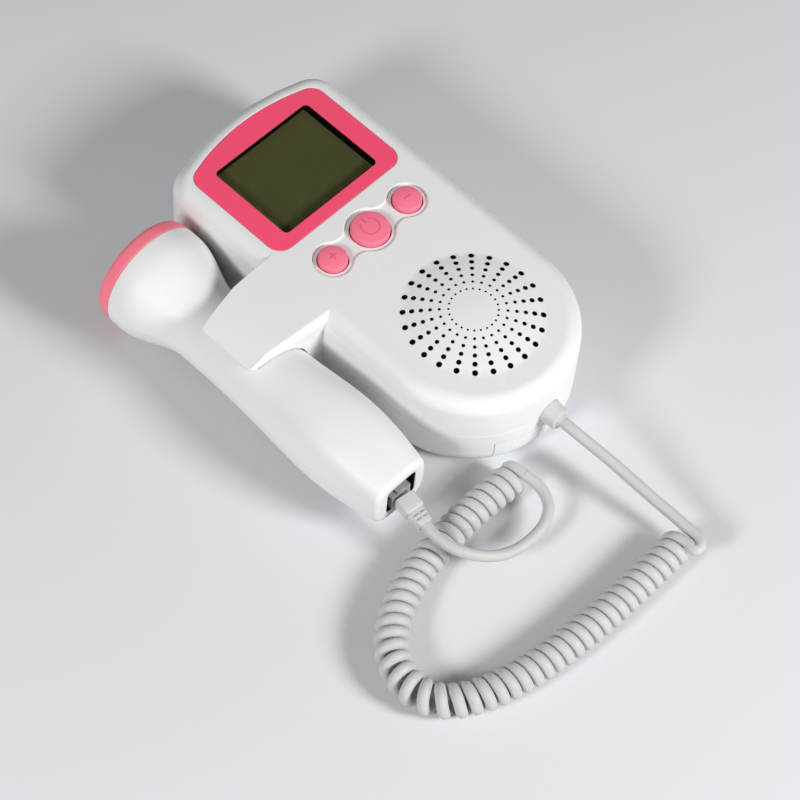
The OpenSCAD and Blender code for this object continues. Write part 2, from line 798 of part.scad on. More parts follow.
// The first and last curl both meet their lead on top of the coil
curl_phase = 90;
function curl_at(k) = let (s = coil_find(coil_total * k / (curls * curl_rings)),
    p = coil_at(s), d = unit(coil_dir(s)), a = curl_phase - 360 * k / curl_rings)
    [p[0] + d[1] * curl_r * cos(a), p[1] - d[0] * curl_r * cos(a), run_z + curl_r * sin(a)];
function curl_out(k) = let (s = coil_find(coil_total * k / (curls * curl_rings)),
    d = unit(coil_dir(s)), a = curl_phase - 360 * k / curl_rings)
    [d[1] * cos(a), -d[0] * cos(a), sin(a)];

curl_last = curls * curl_rings;
CURLS = [for (k = [0 : curl_last]) curl_at(k)];
coil_start_dir = unit(CURLS[1] - CURLS[0] - [0, 0, (CURLS[1] - CURLS[0])[2]]);
coil_end_dir = unit(CURLS[curl_last] - CURLS[curl_last - 1]
    - [0, 0, (CURLS[curl_last] - CURLS[curl_last - 1])[2]]);
coil_start = CURLS[0] - cord_d * coil_start_dir;
coil_end = CURLS[curl_last] + cord_d * coil_end_dir;

module coil_cord() {
    color("silver") loft(concat(
        [ring(coil_start, coil_start_dir, [0, 0, 1], cord_d / 2, curl_sides)],
        [for (k = [0 : curl_last]) let (t = k == 0 ? coil_start_dir : k == curl_last
            ? coil_end_dir : tangent(CURLS, k))
            ring(CURLS[k], t, curl_out(k), cord_d / 2, curl_sides)],
        [ring(coil_end, coil_end_dir, [0, 0, 1], cord_d / 2, curl_sides)]));
}

// Least gap between curls, measured on the middle line of the tube a turn apart
curl_gaps = [for (k = [0 : curl_last - curl_rings], j = [-2 : 2])
    if (k + curl_rings + j <= curl_last) norm(CURLS[k] - CURLS[k + curl_rings + j]) - cord_d];
echo(least_gap_between_curls = min(curl_gaps));

// Straight lead, from the gland over the end of the coil and back onto it
UNIT_LEAD = concat([[0, gland_face, part_z], [0, gland_face - cord_d, part_z]],
    [[1, -83, 16.8], [2.2, -92, 14.7], [3, -101, 12.6], [3.6, -109, 11], [4.2, -116, 9.8],
     [4.4, -120.5, 9.2], [4.5, -123.5, 9], [4.1, -126, 8.9], [2.9, -127.7, 8.9],
     [1.3, -128, 8.9], [0.2, -127, 8.9]]);

module unit_lead() {
    color("silver") tube(concat(UNIT_LEAD, [coil_start]), [[0, -1, 0], coil_start_dir]);
}

// Lead from the coil round a loose loop, over the coil, to the plug
PROBE_LEAD = [[-16.4, -80, 8.6], [-17, -83.5, 8.2], [-19.4, -87.5, 7.9], [-24.3, -90.2, 7.6],
    [-30.7, -91.1, 7.7], [-37.5, -90.6, 8.6], [-43.1, -88.9, 10.3], [-47.7, -86.1, 12.3],
    [-51, -82.6, 13.9], [-53, -78.6, 14.8]];

module probe_lead() {
    color("silver") tube(concat([coil_end], PROBE_LEAD,
        [plug_out + cord_d * plug_dir, plug_out]), [coil_end_dir, -plug_dir]);
}

// ---- plug and socket ----

tip_w = 7.6;
tip_h = 5.6;
tip_l = 9;
latch_w = 3;
latch_t = 0.9;
latch_short = 2;
contact_w = 0.5;
contact_pitch = 1.2;
contact_l = 2.6;
contact_h = 0.3;
slot_w = 1.5;
slot_l = 0.6;
slot_deep = 0.6;
slot_x = 1.1;
SLOTS = [1.6, 3.1];                      // distances from the grip's block to the slots

module plug_grip() {
    block_l = plug_block[1] - plug_straight;
    color("silver") {
        block(plug_block[0], plug_straight + 0.5, plug_block[2],
              [probe_x, plug_y1 - (plug_straight + 0.5) / 2, plug_z - plug_block[2] / 2]);
        translate(plug_bend) rotate([plug_pitch, 0, -plug_yaw]) difference() {
            union() {
                block(plug_block[0], block_l + 1, plug_block[2],
                      [0, (1 - block_l) / 2, -plug_block[2] / 2]);
                block(plug_relief[0], plug_relief[1] + 0.1, plug_relief[2],
                      [0, relief_y - plug_relief[1] / 2 + 0.05, -plug_relief[2] / 2]);
            }
            for (y = SLOTS, i = [-1, 1], side = [-1, 1])
                block(slot_w, slot_l, 2 * slot_deep,
                      [i * slot_x, relief_y - y, side * plug_relief[2] / 2 - slot_deep]);
        }
    }
}

module plug_tip() {
    color("whitesmoke") {
        block(tip_w, tip_l, tip_h, [probe_x, plug_y1 + tip_l / 2, plug_z - tip_h / 2]);
        block(latch_w, tip_l - latch_short, latch_t,
              [probe_x, plug_y1 + (tip_l - latch_short) / 2, plug_z + tip_h / 2 - 0.05]);
    }
}

module plug_contacts() {
    color("gold") for (i = [-1.5 : 1.5])
        block(contact_w, contact_l, contact_h,
              [probe_x + contact_pitch * i, plug_y1 + tip_l - contact_l / 2 - 0.5,
               plug_z - tip_h / 2 - contact_h]);
}

socket_w = 12;
socket_h = 14;
tail_lip = 1.6;                          // rounding of the tail's end
socket_y0 = tail_y + tail_lip + shell_t;
socket_l = 13;
socket_deep = plug_y1 + tip_l + 0.4;     // inner end of the socket's cavity
socket_side = 0.3;                       // cavity beyond the plug's tip, on each side
socket_over = 1.4;                       // room for the latch
socket_under = 1;                        // room for the contacts
pin_l = 4;
well_w = 11.6;
well_h = 11.4;

module probe_socket() {
    color("black") difference() {
        block(socket_w, socket_l, socket_h,
              [probe_x, socket_y0 + socket_l / 2, probe_z - socket_h / 2]);
        block(tip_w + 2 * socket_side, socket_deep - socket_y0 + cut,
              tip_h + socket_over + socket_under,
              [probe_x, (socket_deep + socket_y0 - cut) / 2, plug_z - tip_h / 2 - socket_under]);
    }
}

module socket_pins() {
    color("gold") for (i = [-1.5 : 1.5])
        block(contact_w, pin_l, contact_w,
              [probe_x + contact_pitch * i, socket_deep - pin_l / 2,
               plug_z - tip_h / 2 - socket_under]);
}

// ---- probe ----

function handle_ring(y, inset) = let (p = 2 / handle_square(y))
    [for (i = [0 : ring_sides - 1]) let (a = 360 * i / ring_sides)
        [probe_x + (handle_r(y) - inset) * spow(cos(a), p), y,
         probe_z + (handle_h(y) - inset) * spow(sin(a), p)]];

module handle_form(inset, y0, y1, lip, steps) {
    loft(concat(
        [for (i = [steps : -1 : 0]) handle_ring(y0 + (y1 - y0) * i / steps, inset)],
        lip > 0 ? [handle_ring(y0 - 0.6 * lip, inset + 0.3 * lip),
                   handle_ring(y0 - lip, inset + lip)] : []));
}

module probe_shells() {
    difference() {
        handle_form(0, tail_y + tail_lip, join_y, tail_lip, 22);
        handle_form(shell_t, tail_y + shell_t + tail_lip, join_y + cut, 0, 12);
        block(well_w, 8, well_h, [probe_x, tail_y + 1, probe_z - well_h / 2]);
        turned(join_y - skirt_l - fit) square([head_d / 2 - shell_t, skirt_l + fit + cut]);
    }
}

probe_screw_r = 1;
probe_post_r = 2.8;
PROBE_POSTS = [belly_y + 8, neck_y + 5];
probe_seat = 6.5;
probe_board_w = 14;
probe_board_y0 = socket_y0 + socket_l;
probe_board_y1 = neck_y - 3;

module probe_posts(z0, z1, r) {
    for (y = PROBE_POSTS) rod(r, z0, z1, [probe_x, y]);
}

module probe_upper_shell() {
    color("white") difference() {
        union() {
            probe_shells();
            for (y = PROBE_POSTS)
                rod(probe_post_r, probe_z + (y < probe_board_y1 ? board_t : 0),
                    probe_z + handle_h(y) - shell_t / 2, [probe_x, y]);
        }
        below(probe_z);
        probe_posts(probe_z - cut, probe_z + 7, probe_screw_r + bore_fit);
    }
}

module probe_lower_shell() {
    color("white") difference() {
        union() {
            probe_shells();
            for (y = PROBE_POSTS)
                rod(probe_post_r, probe_z - handle_h(y) + shell_t / 2, probe_z, [probe_x, y]);
        }
        above(probe_z);
        probe_posts(probe_z - head_d, probe_z - probe_seat, 2.1);
        probe_posts(probe_z - head_d, probe_z + cut, probe_screw_r + bore_fit);
    }
}

module probe_screws() {
    color("silver") for (y = PROBE_POSTS) {
        rod(1.8, probe_z - probe_seat - 1.4, probe_z - probe_seat, [probe_x, y]);
        rod(probe_screw_r, probe_z - probe_seat - 0.1, probe_z + 6.5, [probe_x, y]);
    }
}

// Round pieces of the head, turned about the probe's axis
module turned(y) { translate([probe_x, y, probe_z]) rotate([-90, 0, 0]) rotate_extrude() children(); }

module probe_face() {
    skirt = head_d / 2 - shell_t - fit;
    bulge_r = (pow(face_edge_d / 2, 2) + pow(face_bulge, 2)) / (2 * face_bulge);
    bulge_a = asin(face_edge_d / 2 / bulge_r);
    color("#ff5070") turned(join_y) difference() {
        union() {
            polygon(concat([[0, 0], [head_d / 2, 0], [face_edge_d / 2 + 0.7, face_rim - 1]],
                [for (i = [0 : 6]) let (a = bulge_a * (1 - i / 6))
                    [bulge_r * sin(a), face_rim + face_bulge + bulge_r * (cos(a) - 1)]]));
            translate([0, -skirt_l]) square([skirt, skirt_l + cut]);
        }
        translate([0, -skirt_l - cut]) square([skirt - face_t, skirt_l + cut + face_rim - face_t]);
    }
}

disc_t = 1.2;
disc_y = join_y + face_rim - face_t;

module transducer_discs() {
    color("gold") difference() {
        turned(disc_y - disc_t) square([11, disc_t]);
        block(1, 10, head_d, [probe_x, disc_y, probe_z - head_d / 2]);
    }
}

module disc_carrier() {
    skirt = head_d / 2 - shell_t - fit - face_t - 0.3;
    color("dimgrey") turned(disc_y - disc_t - 2.5) difference() {
        square([skirt, 2.5]);
        translate([0, -cut]) square([3, 2.5 + 2 * cut]);
    }
}

module probe_board() {
    color("green") difference() {
        block(probe_board_w, probe_board_y1 - probe_board_y0, board_t,
              [probe_x, (probe_board_y0 + probe_board_y1) / 2, probe_z]);
        rod(probe_screw_r + bore_fit, probe_z - cut, probe_z + board_t + cut,
            [probe_x, PROBE_POSTS[0]]);
    }
}

module probe_parts() {
    top = probe_z + board_t;
    color("black") {
        block(6, 8, 1.4, [probe_x, neck_y - 12, top]);
        block(4, 5, 1.4, [probe_x, neck_y - 22, top]);
        block(7, 3, 3, [probe_x, neck_y - 5.5, top]);
    }
}

front_housing();
rear_housing();
battery_door();
display_frame();
window_pane();
display_glass();
backlight();
main_board();
board_parts();
board_screws();
housing_screws();
power_key();
volume_up_key();
volume_down_key();
power_plunger();
volume_up_plunger();
volume_down_plunger();
tact_switches();
speaker_gasket();
speaker_basket();
speaker_cone();
speaker_magnet();
battery_left();
battery_right();
battery_contacts();
cord_gland();
unit_lead();
coil_cord();
probe_lead();
plug_grip();
plug_tip();
plug_contacts();
probe_socket();
socket_pins();
probe_upper_shell();
probe_lower_shell();
probe_face();
transducer_discs();
disc_carrier();
probe_board();
probe_parts();
probe_screws();
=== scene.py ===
import math
import bpy
import bmesh
from mathutils import Vector, Matrix


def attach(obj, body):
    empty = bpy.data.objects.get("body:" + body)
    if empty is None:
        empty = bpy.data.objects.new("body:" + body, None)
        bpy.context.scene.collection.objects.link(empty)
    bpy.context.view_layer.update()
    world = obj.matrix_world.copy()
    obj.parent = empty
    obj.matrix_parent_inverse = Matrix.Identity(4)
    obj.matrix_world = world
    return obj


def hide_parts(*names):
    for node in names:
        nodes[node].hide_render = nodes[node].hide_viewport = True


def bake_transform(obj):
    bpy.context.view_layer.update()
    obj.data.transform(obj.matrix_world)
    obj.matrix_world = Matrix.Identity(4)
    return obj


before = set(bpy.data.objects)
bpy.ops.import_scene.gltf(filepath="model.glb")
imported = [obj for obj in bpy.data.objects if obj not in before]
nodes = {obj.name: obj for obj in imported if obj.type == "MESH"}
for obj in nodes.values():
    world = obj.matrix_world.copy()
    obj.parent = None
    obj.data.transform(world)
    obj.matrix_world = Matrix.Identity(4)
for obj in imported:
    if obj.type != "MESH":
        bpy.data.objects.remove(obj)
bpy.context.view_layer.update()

MM = 0.001

# ---------------------------------------------------------------- sizes, as in the model (mm)
PART_Z = 18.6
BODY_H = 34.5
HALF_W = 33.0
END_Y = -35.5
WINDOW_Y = 39.1
KEYS_Y = 7.3
PROBE_X = -52.0
TAIL_Y, BELLY_Y, NECK_Y, JOIN_Y = -57.5, -27.0, 13.0, 48.6
TAIL_L, BELLY_L, NECK_L, FLARE_L = 30.5, 40.0, 10.0, 22.0
HEAD_D, NECK_D, BELLY_D, TAIL_W, TAIL_H = 36.4, 24.4, 27.4, 20.4, 18.8
PROBE_POSTS = (-19.0, 18.0)
GLAND_Y = -68.1
PLUG_BEND, PLUG_YAW, PLUG_PITCH = (-52.0, -59.5, 16.4), 8.0, 5.0
CORD_D = 3.6
KEY_RISE = 0.6
RECESS_H = 1.0
GRILLE_EDGE_R = 22.3
FRAME_EDGE_R = 0.3

# These three make pieces differ from the CAD, towards the photo, which is a fault.
KEY_LIFT = 1.0        # the keys are this much taller than the CAD's
RECESS_RAISE = 0.4    # the recess round the keys is this much shallower
FRAME_GROW = 0.1      # the display frame's outer outline is this much larger


def srgb(r, g, b, a=1.0):
    def lin(v):
        v /= 255
        return v / 12.92 if v <= 0.04045 else ((v + 0.055) / 1.055) ** 2.4
    return (lin(r), lin(g), lin(b), a)


def smooth(u):
    return (1 - math.cos(math.pi * max(0.0, min(1.0, u)))) / 2


# ---------------------------------------------------------------- camera
def make_camera():
    az, el, roll = math.radians(-50.4812), math.radians(57.6894), math.radians(5.5500)
    back = Vector((math.sin(az) * math.cos(el), -math.cos(az) * math.cos(el), math.sin(el)))
    right = Vector((math.cos(az), math.sin(az), 0))
    up = back.cross(right)
    r2 = math.cos(roll) * right + math.sin(roll) * up
    u2 = -math.sin(roll) * right + math.cos(roll) * up
    data = bpy.data.cameras.new("camera")
    data.lens, data.sensor_width, data.sensor_fit = 126.96, 36, "HORIZONTAL"
    data.clip_end = 10
    cam = bpy.data.objects.new("camera", data)
    bpy.context.scene.collection.objects.link(cam)
    m = Matrix((r2, u2, back)).transposed().to_4x4()
    m.translation = Vector((-0.3754, -0.3204, 0.7277))
    cam.matrix_world = m
    bpy.context.scene.camera = cam


make_camera()


# ---------------------------------------------------------------- mesh helpers
def add_object(name, mesh):
    obj = bpy.data.objects.new(name, mesh)
    bpy.context.scene.collection.objects.link(obj)
    return obj


def finish_mesh(obj, angle=35, weighted=True):
    mesh = obj.data
    bm = bmesh.new()
    bm.from_mesh(mesh)
    bmesh.ops.recalc_face_normals(bm, faces=bm.faces)
    bm.to_mesh(mesh)
    bm.free()
    for p in mesh.polygons:
        p.use_smooth = True
    mesh.set_sharp_from_angle(angle=math.radians(angle))
    if weighted:
        mod = obj.modifiers.new("normals", "WEIGHTED_NORMAL")
        mod.keep_sharp = True
        mod.weight = 60


def mesh_object(name, points, faces, angle=35, weighted=True):
    mesh = bpy.data.meshes.new(name)
    mesh.from_pydata([Vector(p) * MM for p in points], [], faces)
    obj = add_object(name, mesh)
    finish_mesh(obj, angle, weighted)
    return obj


def turned(name, profile, centre, axis, sides=96, angle=35):
    """Solid of revolution: profile is a list of (radius, height) along axis 'y', '-y' or 'z'."""
    points, faces, rows = [], [], []
    for r, h in profile:
        if r < 1e-6:
            rows.append([len(points)])
            ring = [(0.0, h)]
        else:
            rows.append(list(range(len(points), len(points) + sides)))
            ring = [(r, h)] * sides
        for i, (rr, hh) in enumerate(ring):
            a = 2 * math.pi * i / sides
            u, v = rr * math.cos(a), rr * math.sin(a)
            if axis == "z":
                p = (u, v, hh)
            elif axis == "y":
                p = (v, hh, u)
            else:
                p = (u, -hh, v)
            points.append([centre[k] + p[k] for k in range(3)])
    for a, b in zip(rows, rows[1:]):
        if len(a) == 1 and len(b) == 1:
            continue
        for i in range(sides):
            j = (i + 1) % sides
            if len(a) == 1:
                faces.append((a[0], b[j], b[i]))
            elif len(b) == 1:
                faces.append((a[i], a[j], b[0]))
            else:
                faces.append((a[i], a[j], b[j], b[i]))
    return mesh_object(name, points, faces, angle)


def arc(cx, cy, r, a0, a1, n):
    return [(cx + r * math.cos(math.radians(a0 + (a1 - a0) * i / n)),
             cy + r * math.sin(math.radians(a0 + (a1 - a0) * i / n))) for i in range(n + 1)]


def cad_copy(node, name):
    """A piece made from a node's own surface, welded and with its flat faces joined up."""
    mesh = nodes[node].data.copy()
    mesh.name = name
    mesh.materials.clear()
    if mesh.has_custom_normals:
        mesh.attributes.remove(mesh.attributes["custom_normal"])
    bm = bmesh.new()
    bm.from_mesh(mesh)
    bmesh.ops.remove_doubles(bm, verts=bm.verts, dist=2e-6)
    bmesh.ops.dissolve_limit(bm, angle_limit=math.radians(0.6), use_dissolve_boundaries=False,
                             verts=bm.verts, edges=bm.edges, delimit=set())
    bm.to_mesh(mesh)
    bm.free()
    return add_object(name, mesh)


def soften(obj, width, choose, segments=3):
    """Rounds the sharp edges of a piece that choose(middle, direction, length) picks, in mm."""
    bm = bmesh.new()
    bm.from_mesh(obj.data)
    edges = []
    for e in bm.edges:
        if len(e.link_faces) != 2 or e.calc_face_angle(0) < math.radians(25):
            continue
        a, b = e.verts[0].co / MM, e.verts[1].co / MM
        if choose((a + b) / 2, (b - a).normalized(), (b - a).length):
            edges.append(e)
    bmesh.ops.bevel(bm, geom=edges, offset=width * MM, offset_type="OFFSET", segments=segments,
                    profile=0.5, affect="EDGES", clamp_overlap=False)
    bm.to_mesh(obj.data)
    bm.free()
    print("softened", obj.name, len(edges), "edges")


# ---------------------------------------------------------------- materials
def new_material(name):
    mat = bpy.data.materials.new(name)
    mat.use_nodes = True
    tree = mat.node_tree
    return mat, tree, tree.nodes["Principled BSDF"]


def noise(tree, scale, detail=2.0, roughness=0.5, distortion=0.0):
    coord = tree.nodes.new("ShaderNodeTexCoord")
    n = tree.nodes.new("ShaderNodeTexNoise")
    n.inputs["Scale"].default_value = scale
    n.inputs["Detail"].default_value = detail
    n.inputs["Roughness"].default_value = roughness
    n.inputs["Distortion"].default_value = distortion
    tree.links.new(coord.outputs["Object"], n.inputs["Vector"])
    return n.outputs["Fac"]


def ramp(tree, source, stops):
    r = tree.nodes.new("ShaderNodeValToRGB")
    el = r.color_ramp.elements
    while len(el) < len(stops):
        el.new(0.5)
    for e, (pos, col) in zip(el, stops):
        e.position = pos
        e.color = col
    tree.links.new(source, r.inputs["Fac"])
    return r.outputs["Color"]


def scaled(col, f):
    return tuple(min(1.0, c * f) for c in col[:3]) + (1.0,)


def plastic(name, color, rough=0.35, tone=0.03, tone_scale=70, grain=2600, grain_depth=0.00001,
            wave_scale=220, specular=0.5, coat=0.0, coat_rough=0.2, subsurface=0.0, rough_var=0.08,
            edge=0.0, metallic=0.0, round_edges=0.0):
    """Moulded plastic: slow tone drift, fine moulding grain, faint flow waves, handled patches; a non-zero
    edge paints a highlight, a lighter colour, on convex edges.
    """
    mat, tree, bsdf = new_material(name)
    links = tree.links
    drift = ramp(tree, noise(tree, tone_scale, 3, 0.6),
                 [(0.35, scaled(color, 1 - tone)), (0.65, scaled(color, 1 + tone))])
    out = drift
    # painted highlight: where Pointiness is high, on convex edges, the colour is made lighter by the factor 1
    # + edge
    if edge:
        geo = tree.nodes.new("ShaderNodeNewGeometry")
        mask = ramp(tree, geo.outputs["Pointiness"], [(0.50, (0, 0, 0, 1)), (0.58, (1, 1, 1, 1))])
        mix = tree.nodes.new("ShaderNodeMix")
        mix.data_type = "RGBA"
        links.new(mask, mix.inputs["Factor"])
        links.new(drift, mix.inputs["A"])
        mix.inputs["B"].default_value = scaled(color, 1 + edge)
        out = mix.outputs["Result"]
    links.new(out, bsdf.inputs["Base Color"])
    patches = tree.nodes.new("ShaderNodeMapRange")
    patches.inputs["To Min"].default_value = rough - rough_var
    patches.inputs["To Max"].default_value = rough + rough_var
    links.new(noise(tree, 130, 4, 0.65, 0.3), patches.inputs["Value"])
    links.new(patches.outputs["Result"], bsdf.inputs["Roughness"])
    fine = tree.nodes.new("ShaderNodeBump")
    fine.inputs["Distance"].default_value = grain_depth
    fine.inputs["Strength"].default_value = 0.6
    links.new(noise(tree, grain, 2), fine.inputs["Height"])
    wave = tree.nodes.new("ShaderNodeBump")
    wave.inputs["Distance"].default_value = grain_depth * 3
    wave.inputs["Strength"].default_value = 0.25
    links.new(noise(tree, wave_scale, 1), wave.inputs["Height"])
    links.new(wave.outputs["Normal"], fine.inputs["Normal"])
    links.new(fine.outputs["Normal"], bsdf.inputs["Normal"])
    if round_edges:
        bevel = tree.nodes.new("ShaderNodeBevel")
        bevel.samples = 6
        bevel.inputs["Radius"].default_value = round_edges * MM
        links.new(bevel.outputs["Normal"], wave.inputs["Normal"])
    bsdf.inputs["Specular IOR Level"].default_value = specular
    bsdf.inputs["Coat Weight"].default_value = coat
    bsdf.inputs["Coat Roughness"].default_value = coat_rough
    bsdf.inputs["Metallic"].default_value = metallic
    if subsurface:
        bsdf.inputs["Subsurface Weight"].default_value = subsurface
        bsdf.inputs["Subsurface Radius"].default_value = (1.0, 0.8, 0.7)
        bsdf.inputs["Subsurface Scale"].default_value = 0.001
    return mat


def sprinkle(mat, scale, low, high, dark, amount):
    """Darkens a material in spots of a finer noise."""
    tree = mat.node_tree
    bsdf = tree.nodes["Principled BSDF"]
    source = bsdf.inputs["Base Color"].links[0].from_socket
    mask = ramp(tree, noise(tree, scale, 4, 0.6),
                [(low, (0, 0, 0, 1)), (high, (amount, amount, amount, 1))])
    mix = tree.nodes.new("ShaderNodeMix")
    mix.data_type = "RGBA"
    tree.links.new(mask, mix.inputs["Factor"])
    tree.links.new(source, mix.inputs["A"])
    mix.inputs["B"].default_value = dark
    tree.links.new(mix.outputs["Result"], bsdf.inputs["Base Color"])
    return mat


def see_through(mat, alpha):
    mat.node_tree.nodes["Principled BSDF"].inputs["Alpha"].default_value = alpha
    return mat


def brushed(name, color, rough=0.28, lay=(300, 14, 300)):
    """Metal with a drawn grain along one direction and dull handled patches."""
    mat = plastic(name, color, rough=rough, tone=0.06, tone_scale=160, metallic=1.0)
    tree = mat.node_tree
    bsdf = tree.nodes["Principled BSDF"]
    coord = tree.nodes.new("ShaderNodeTexCoord")
    mapping = tree.nodes.new("ShaderNodeMapping")
    mapping.inputs["Scale"].default_value = lay
    lines = tree.nodes.new("ShaderNodeTexNoise")
    lines.inputs["Scale"].default_value = 12
    lines.inputs["Detail"].default_value = 3
    tree.links.new(coord.outputs["Object"], mapping.inputs["Vector"])
    tree.links.new(mapping.outputs["Vector"], lines.inputs["Vector"])
    bump = tree.nodes.new("ShaderNodeBump")
    bump.inputs["Distance"].default_value = 0.00001
    bump.inputs["Strength"].default_value = 0.5
    tree.links.new(lines.outputs["Fac"], bump.inputs["Height"])
    tree.links.new(bsdf.inputs["Normal"].links[0].from_socket, bump.inputs["Normal"])
    tree.links.new(bump.outputs["Normal"], bsdf.inputs["Normal"])
    return mat


def banded(mat, axis, bands, scale=1.0):
    """Paints bands across a material at places along an axis: (from mm, to mm, colour)."""
    tree = mat.node_tree
    bsdf = tree.nodes["Principled BSDF"]
    coord = tree.nodes.new("ShaderNodeTexCoord")
    split = tree.nodes.new("ShaderNodeSeparateXYZ")
    tree.links.new(coord.outputs["Object"], split.inputs["Vector"])
    for low, high, color in bands:
        above = tree.nodes.new("ShaderNodeMath")
        above.operation = "GREATER_THAN"
        above.inputs[1].default_value = low * MM
        tree.links.new(split.outputs[axis], above.inputs[0])
        below = tree.nodes.new("ShaderNodeMath")
        below.operation = "LESS_THAN"
        below.inputs[1].default_value = high * MM
        tree.links.new(split.outputs[axis], below.inputs[0])
        both = tree.nodes.new("ShaderNodeMath")
        both.operation = "MULTIPLY"
        tree.links.new(above.outputs[0], both.inputs[0])
        tree.links.new(below.outputs[0], both.inputs[1])
        mix = tree.nodes.new("ShaderNodeMix")
        mix.data_type = "RGBA"
        tree.links.new(both.outputs[0], mix.inputs["Factor"])
        tree.links.new(bsdf.inputs["Base Color"].links[0].from_socket, mix.inputs["A"])
        mix.inputs["B"].default_value = color
        tree.links.new(mix.outputs["Result"], bsdf.inputs["Base Color"])
    return mat


# edge=0.02 paints a faint highlight on the white shell's convex edges
WHITE = plastic("shell_white", srgb(232, 232, 231), rough=0.46, tone=0.008, specular=0.28, edge=0.02,
                round_edges=0.35)
PINK = plastic("frame_pink", srgb(255, 82, 118), rough=0.42, tone=0.015, specular=0.5)
KEY = plastic("key_pink", srgb(255, 125, 150), rough=0.45, tone=0.02, specular=0.35)
MARK = plastic("key_mark", srgb(238, 104, 130), rough=0.5, tone=0.02, specular=0.25)
HEAD = plastic("head_pink", srgb(253, 127, 146), rough=0.42, tone=0.02, specular=0.35)
BLACK = sprinkle(plastic("part_black", srgb(24, 24, 25), rough=0.5, tone=0.2, specular=0.3),
                 900, 0.5, 0.8, srgb(44, 44, 45), 0.5)
# painted shade: a near-black colour for the walls of the grille holes and of the probe's tail well, where
# shade falls
PAINTED_HOLE_SHADE = plastic("painted_hole_shade", srgb(30, 30, 31), rough=0.7, tone=0.1, specular=0.1)
WALL = plastic("window_wall", srgb(12, 12, 10), rough=0.55, tone=0.2, specular=0.2)
CORD = plastic("cord_grey", srgb(196, 196, 194), rough=0.5, tone=0.015, grain=1800, specular=0.35)
GRIP = plastic("grip_grey", srgb(200, 200, 198), rough=0.52, tone=0.015, grain=2200, specular=0.35,
               round_edges=0.25)
CLEAR = see_through(plastic("plug_clear", srgb(226, 228, 228), rough=0.12, tone=0.02), 0.5)
PANE = see_through(plastic("clear_pane", srgb(6, 6, 5), rough=0.06, tone=0.2, rough_var=0.03,
                           specular=0.15), 0.08)
GOLD = brushed("contact_gold", srgb(226, 190, 110), 0.22)
STEEL = brushed("steel", srgb(186, 188, 192), 0.3)
PLATE = brushed("spring_steel", srgb(205, 206, 208), 0.24, (14, 300, 300))
LCD = plastic("display_dark", srgb(108, 108, 67), rough=0.6, tone=0.03, tone_scale=25, specular=0.1)
# painted shade: the +X band starts at 18.9 mm, 1 mm further in than the printed border's -19.9 mm at -X, and
# darkens a strip beside the window's +X wall where shadow falls; the other bands are the printed border
LCD = banded(LCD, "X", [(-60, -19.9, srgb(16, 16, 12)), (18.9, 60, srgb(16, 16, 12))])
LCD = banded(LCD, "Y", [(0, WINDOW_Y - 15.9, srgb(16, 16, 12)), (WINDOW_Y + 15.9, 90, srgb(16, 16, 12))])
DIFFUSER = plastic("diffuser", srgb(238, 237, 226), rough=0.55, tone=0.02, subsurface=0.2)
BOARD = sprinkle(plastic("board_green", srgb(26, 110, 58), rough=0.35, tone=0.08, tone_scale=400),
                 330, 0.56, 0.58, srgb(52, 140, 84), 0.7)
CHIP = sprinkle(plastic("chip_black", srgb(30, 30, 32), rough=0.55, tone=0.15), 1500, 0.5, 0.7,
                srgb(58, 58, 60), 0.5)
SWITCH = banded(brushed("switch_steel", srgb(190, 192, 195), 0.34), "Z",
                [(26.3, 30, srgb(40, 40, 42))])
PLUNGER = plastic("plunger", srgb(70, 70, 74), rough=0.5, tone=0.08)
FOAM = sprinkle(plastic("foam_grey", srgb(92, 92, 94), rough=0.85, tone=0.1, grain=900,
                        grain_depth=0.0002, specular=0.1), 1300, 0.48, 0.6, srgb(36, 36, 38), 0.9)
CONE = plastic("cone_grey", srgb(140, 142, 146), rough=0.6, tone=0.08, tone_scale=300, grain=700,
               grain_depth=0.00006, specular=0.2)
MAGNET = sprinkle(plastic("magnet", srgb(96, 97, 100), rough=0.5, tone=0.08), 700, 0.5, 0.75,
                  srgb(60, 60, 62), 0.6)
CELL = plastic("cell_blue", srgb(58, 110, 168), rough=0.28, tone=0.03, coat=0.3)
CELL_LEFT = banded(CELL.copy(), "Y", [(-59.5, -57.7, srgb(200, 202, 205)), (-9.3, 0, srgb(200, 202, 205)),
                                      (-18, -9.3, srgb(214, 176, 92))])
CELL_RIGHT = banded(CELL.copy(), "Y", [(-62, -58.4, srgb(200, 202, 205)),
                                       (-58.4, -50, srgb(214, 176, 92)), (-11, 0, srgb(200, 202, 205))])

# ---------------------------------------------------------------- cords
# The leads' and the coil's points are the model's own, in mm.
UNIT_LEAD = [(0, -74, 18.6), (0, -77, 18.6), (1, -83, 16.8), (2.2, -92, 14.7), (3, -101, 12.6),
             (3.6, -109, 11), (4.2, -116, 9.8), (4.4, -120.5, 9.2), (4.5, -123.5, 9),
             (4.1, -126, 8.9), (2.9, -127.7, 8.9), (1.3, -128, 8.9), (0.2, -127, 8.9)]
PROBE_LEAD = [(-16.4, -80, 8.6), (-17, -83.5, 8.2), (-19.4, -87.5, 7.9), (-24.3, -90.2, 7.6),
              (-30.7, -91.1, 7.7), (-37.5, -90.6, 8.6), (-43.1, -88.9, 10.3), (-47.7, -86.1, 12.3),
              (-51, -82.6, 13.9), (-53, -78.6, 14.8), (-53.75, -71.93, 15.3), (-53.33, -68.97, 15.56)]
COIL_A = [(0, -122), (-49, -124), (-90, -120), (-90, -99.5)]
COIL_B = [(-90, -99.5), (-90, -81.5), (-66, -68.8), (-17, -72.4)]
CURLS, CURL_R, RUN_Z = 48, 3.55, 5.36
CAD_CURL_R = 3.7


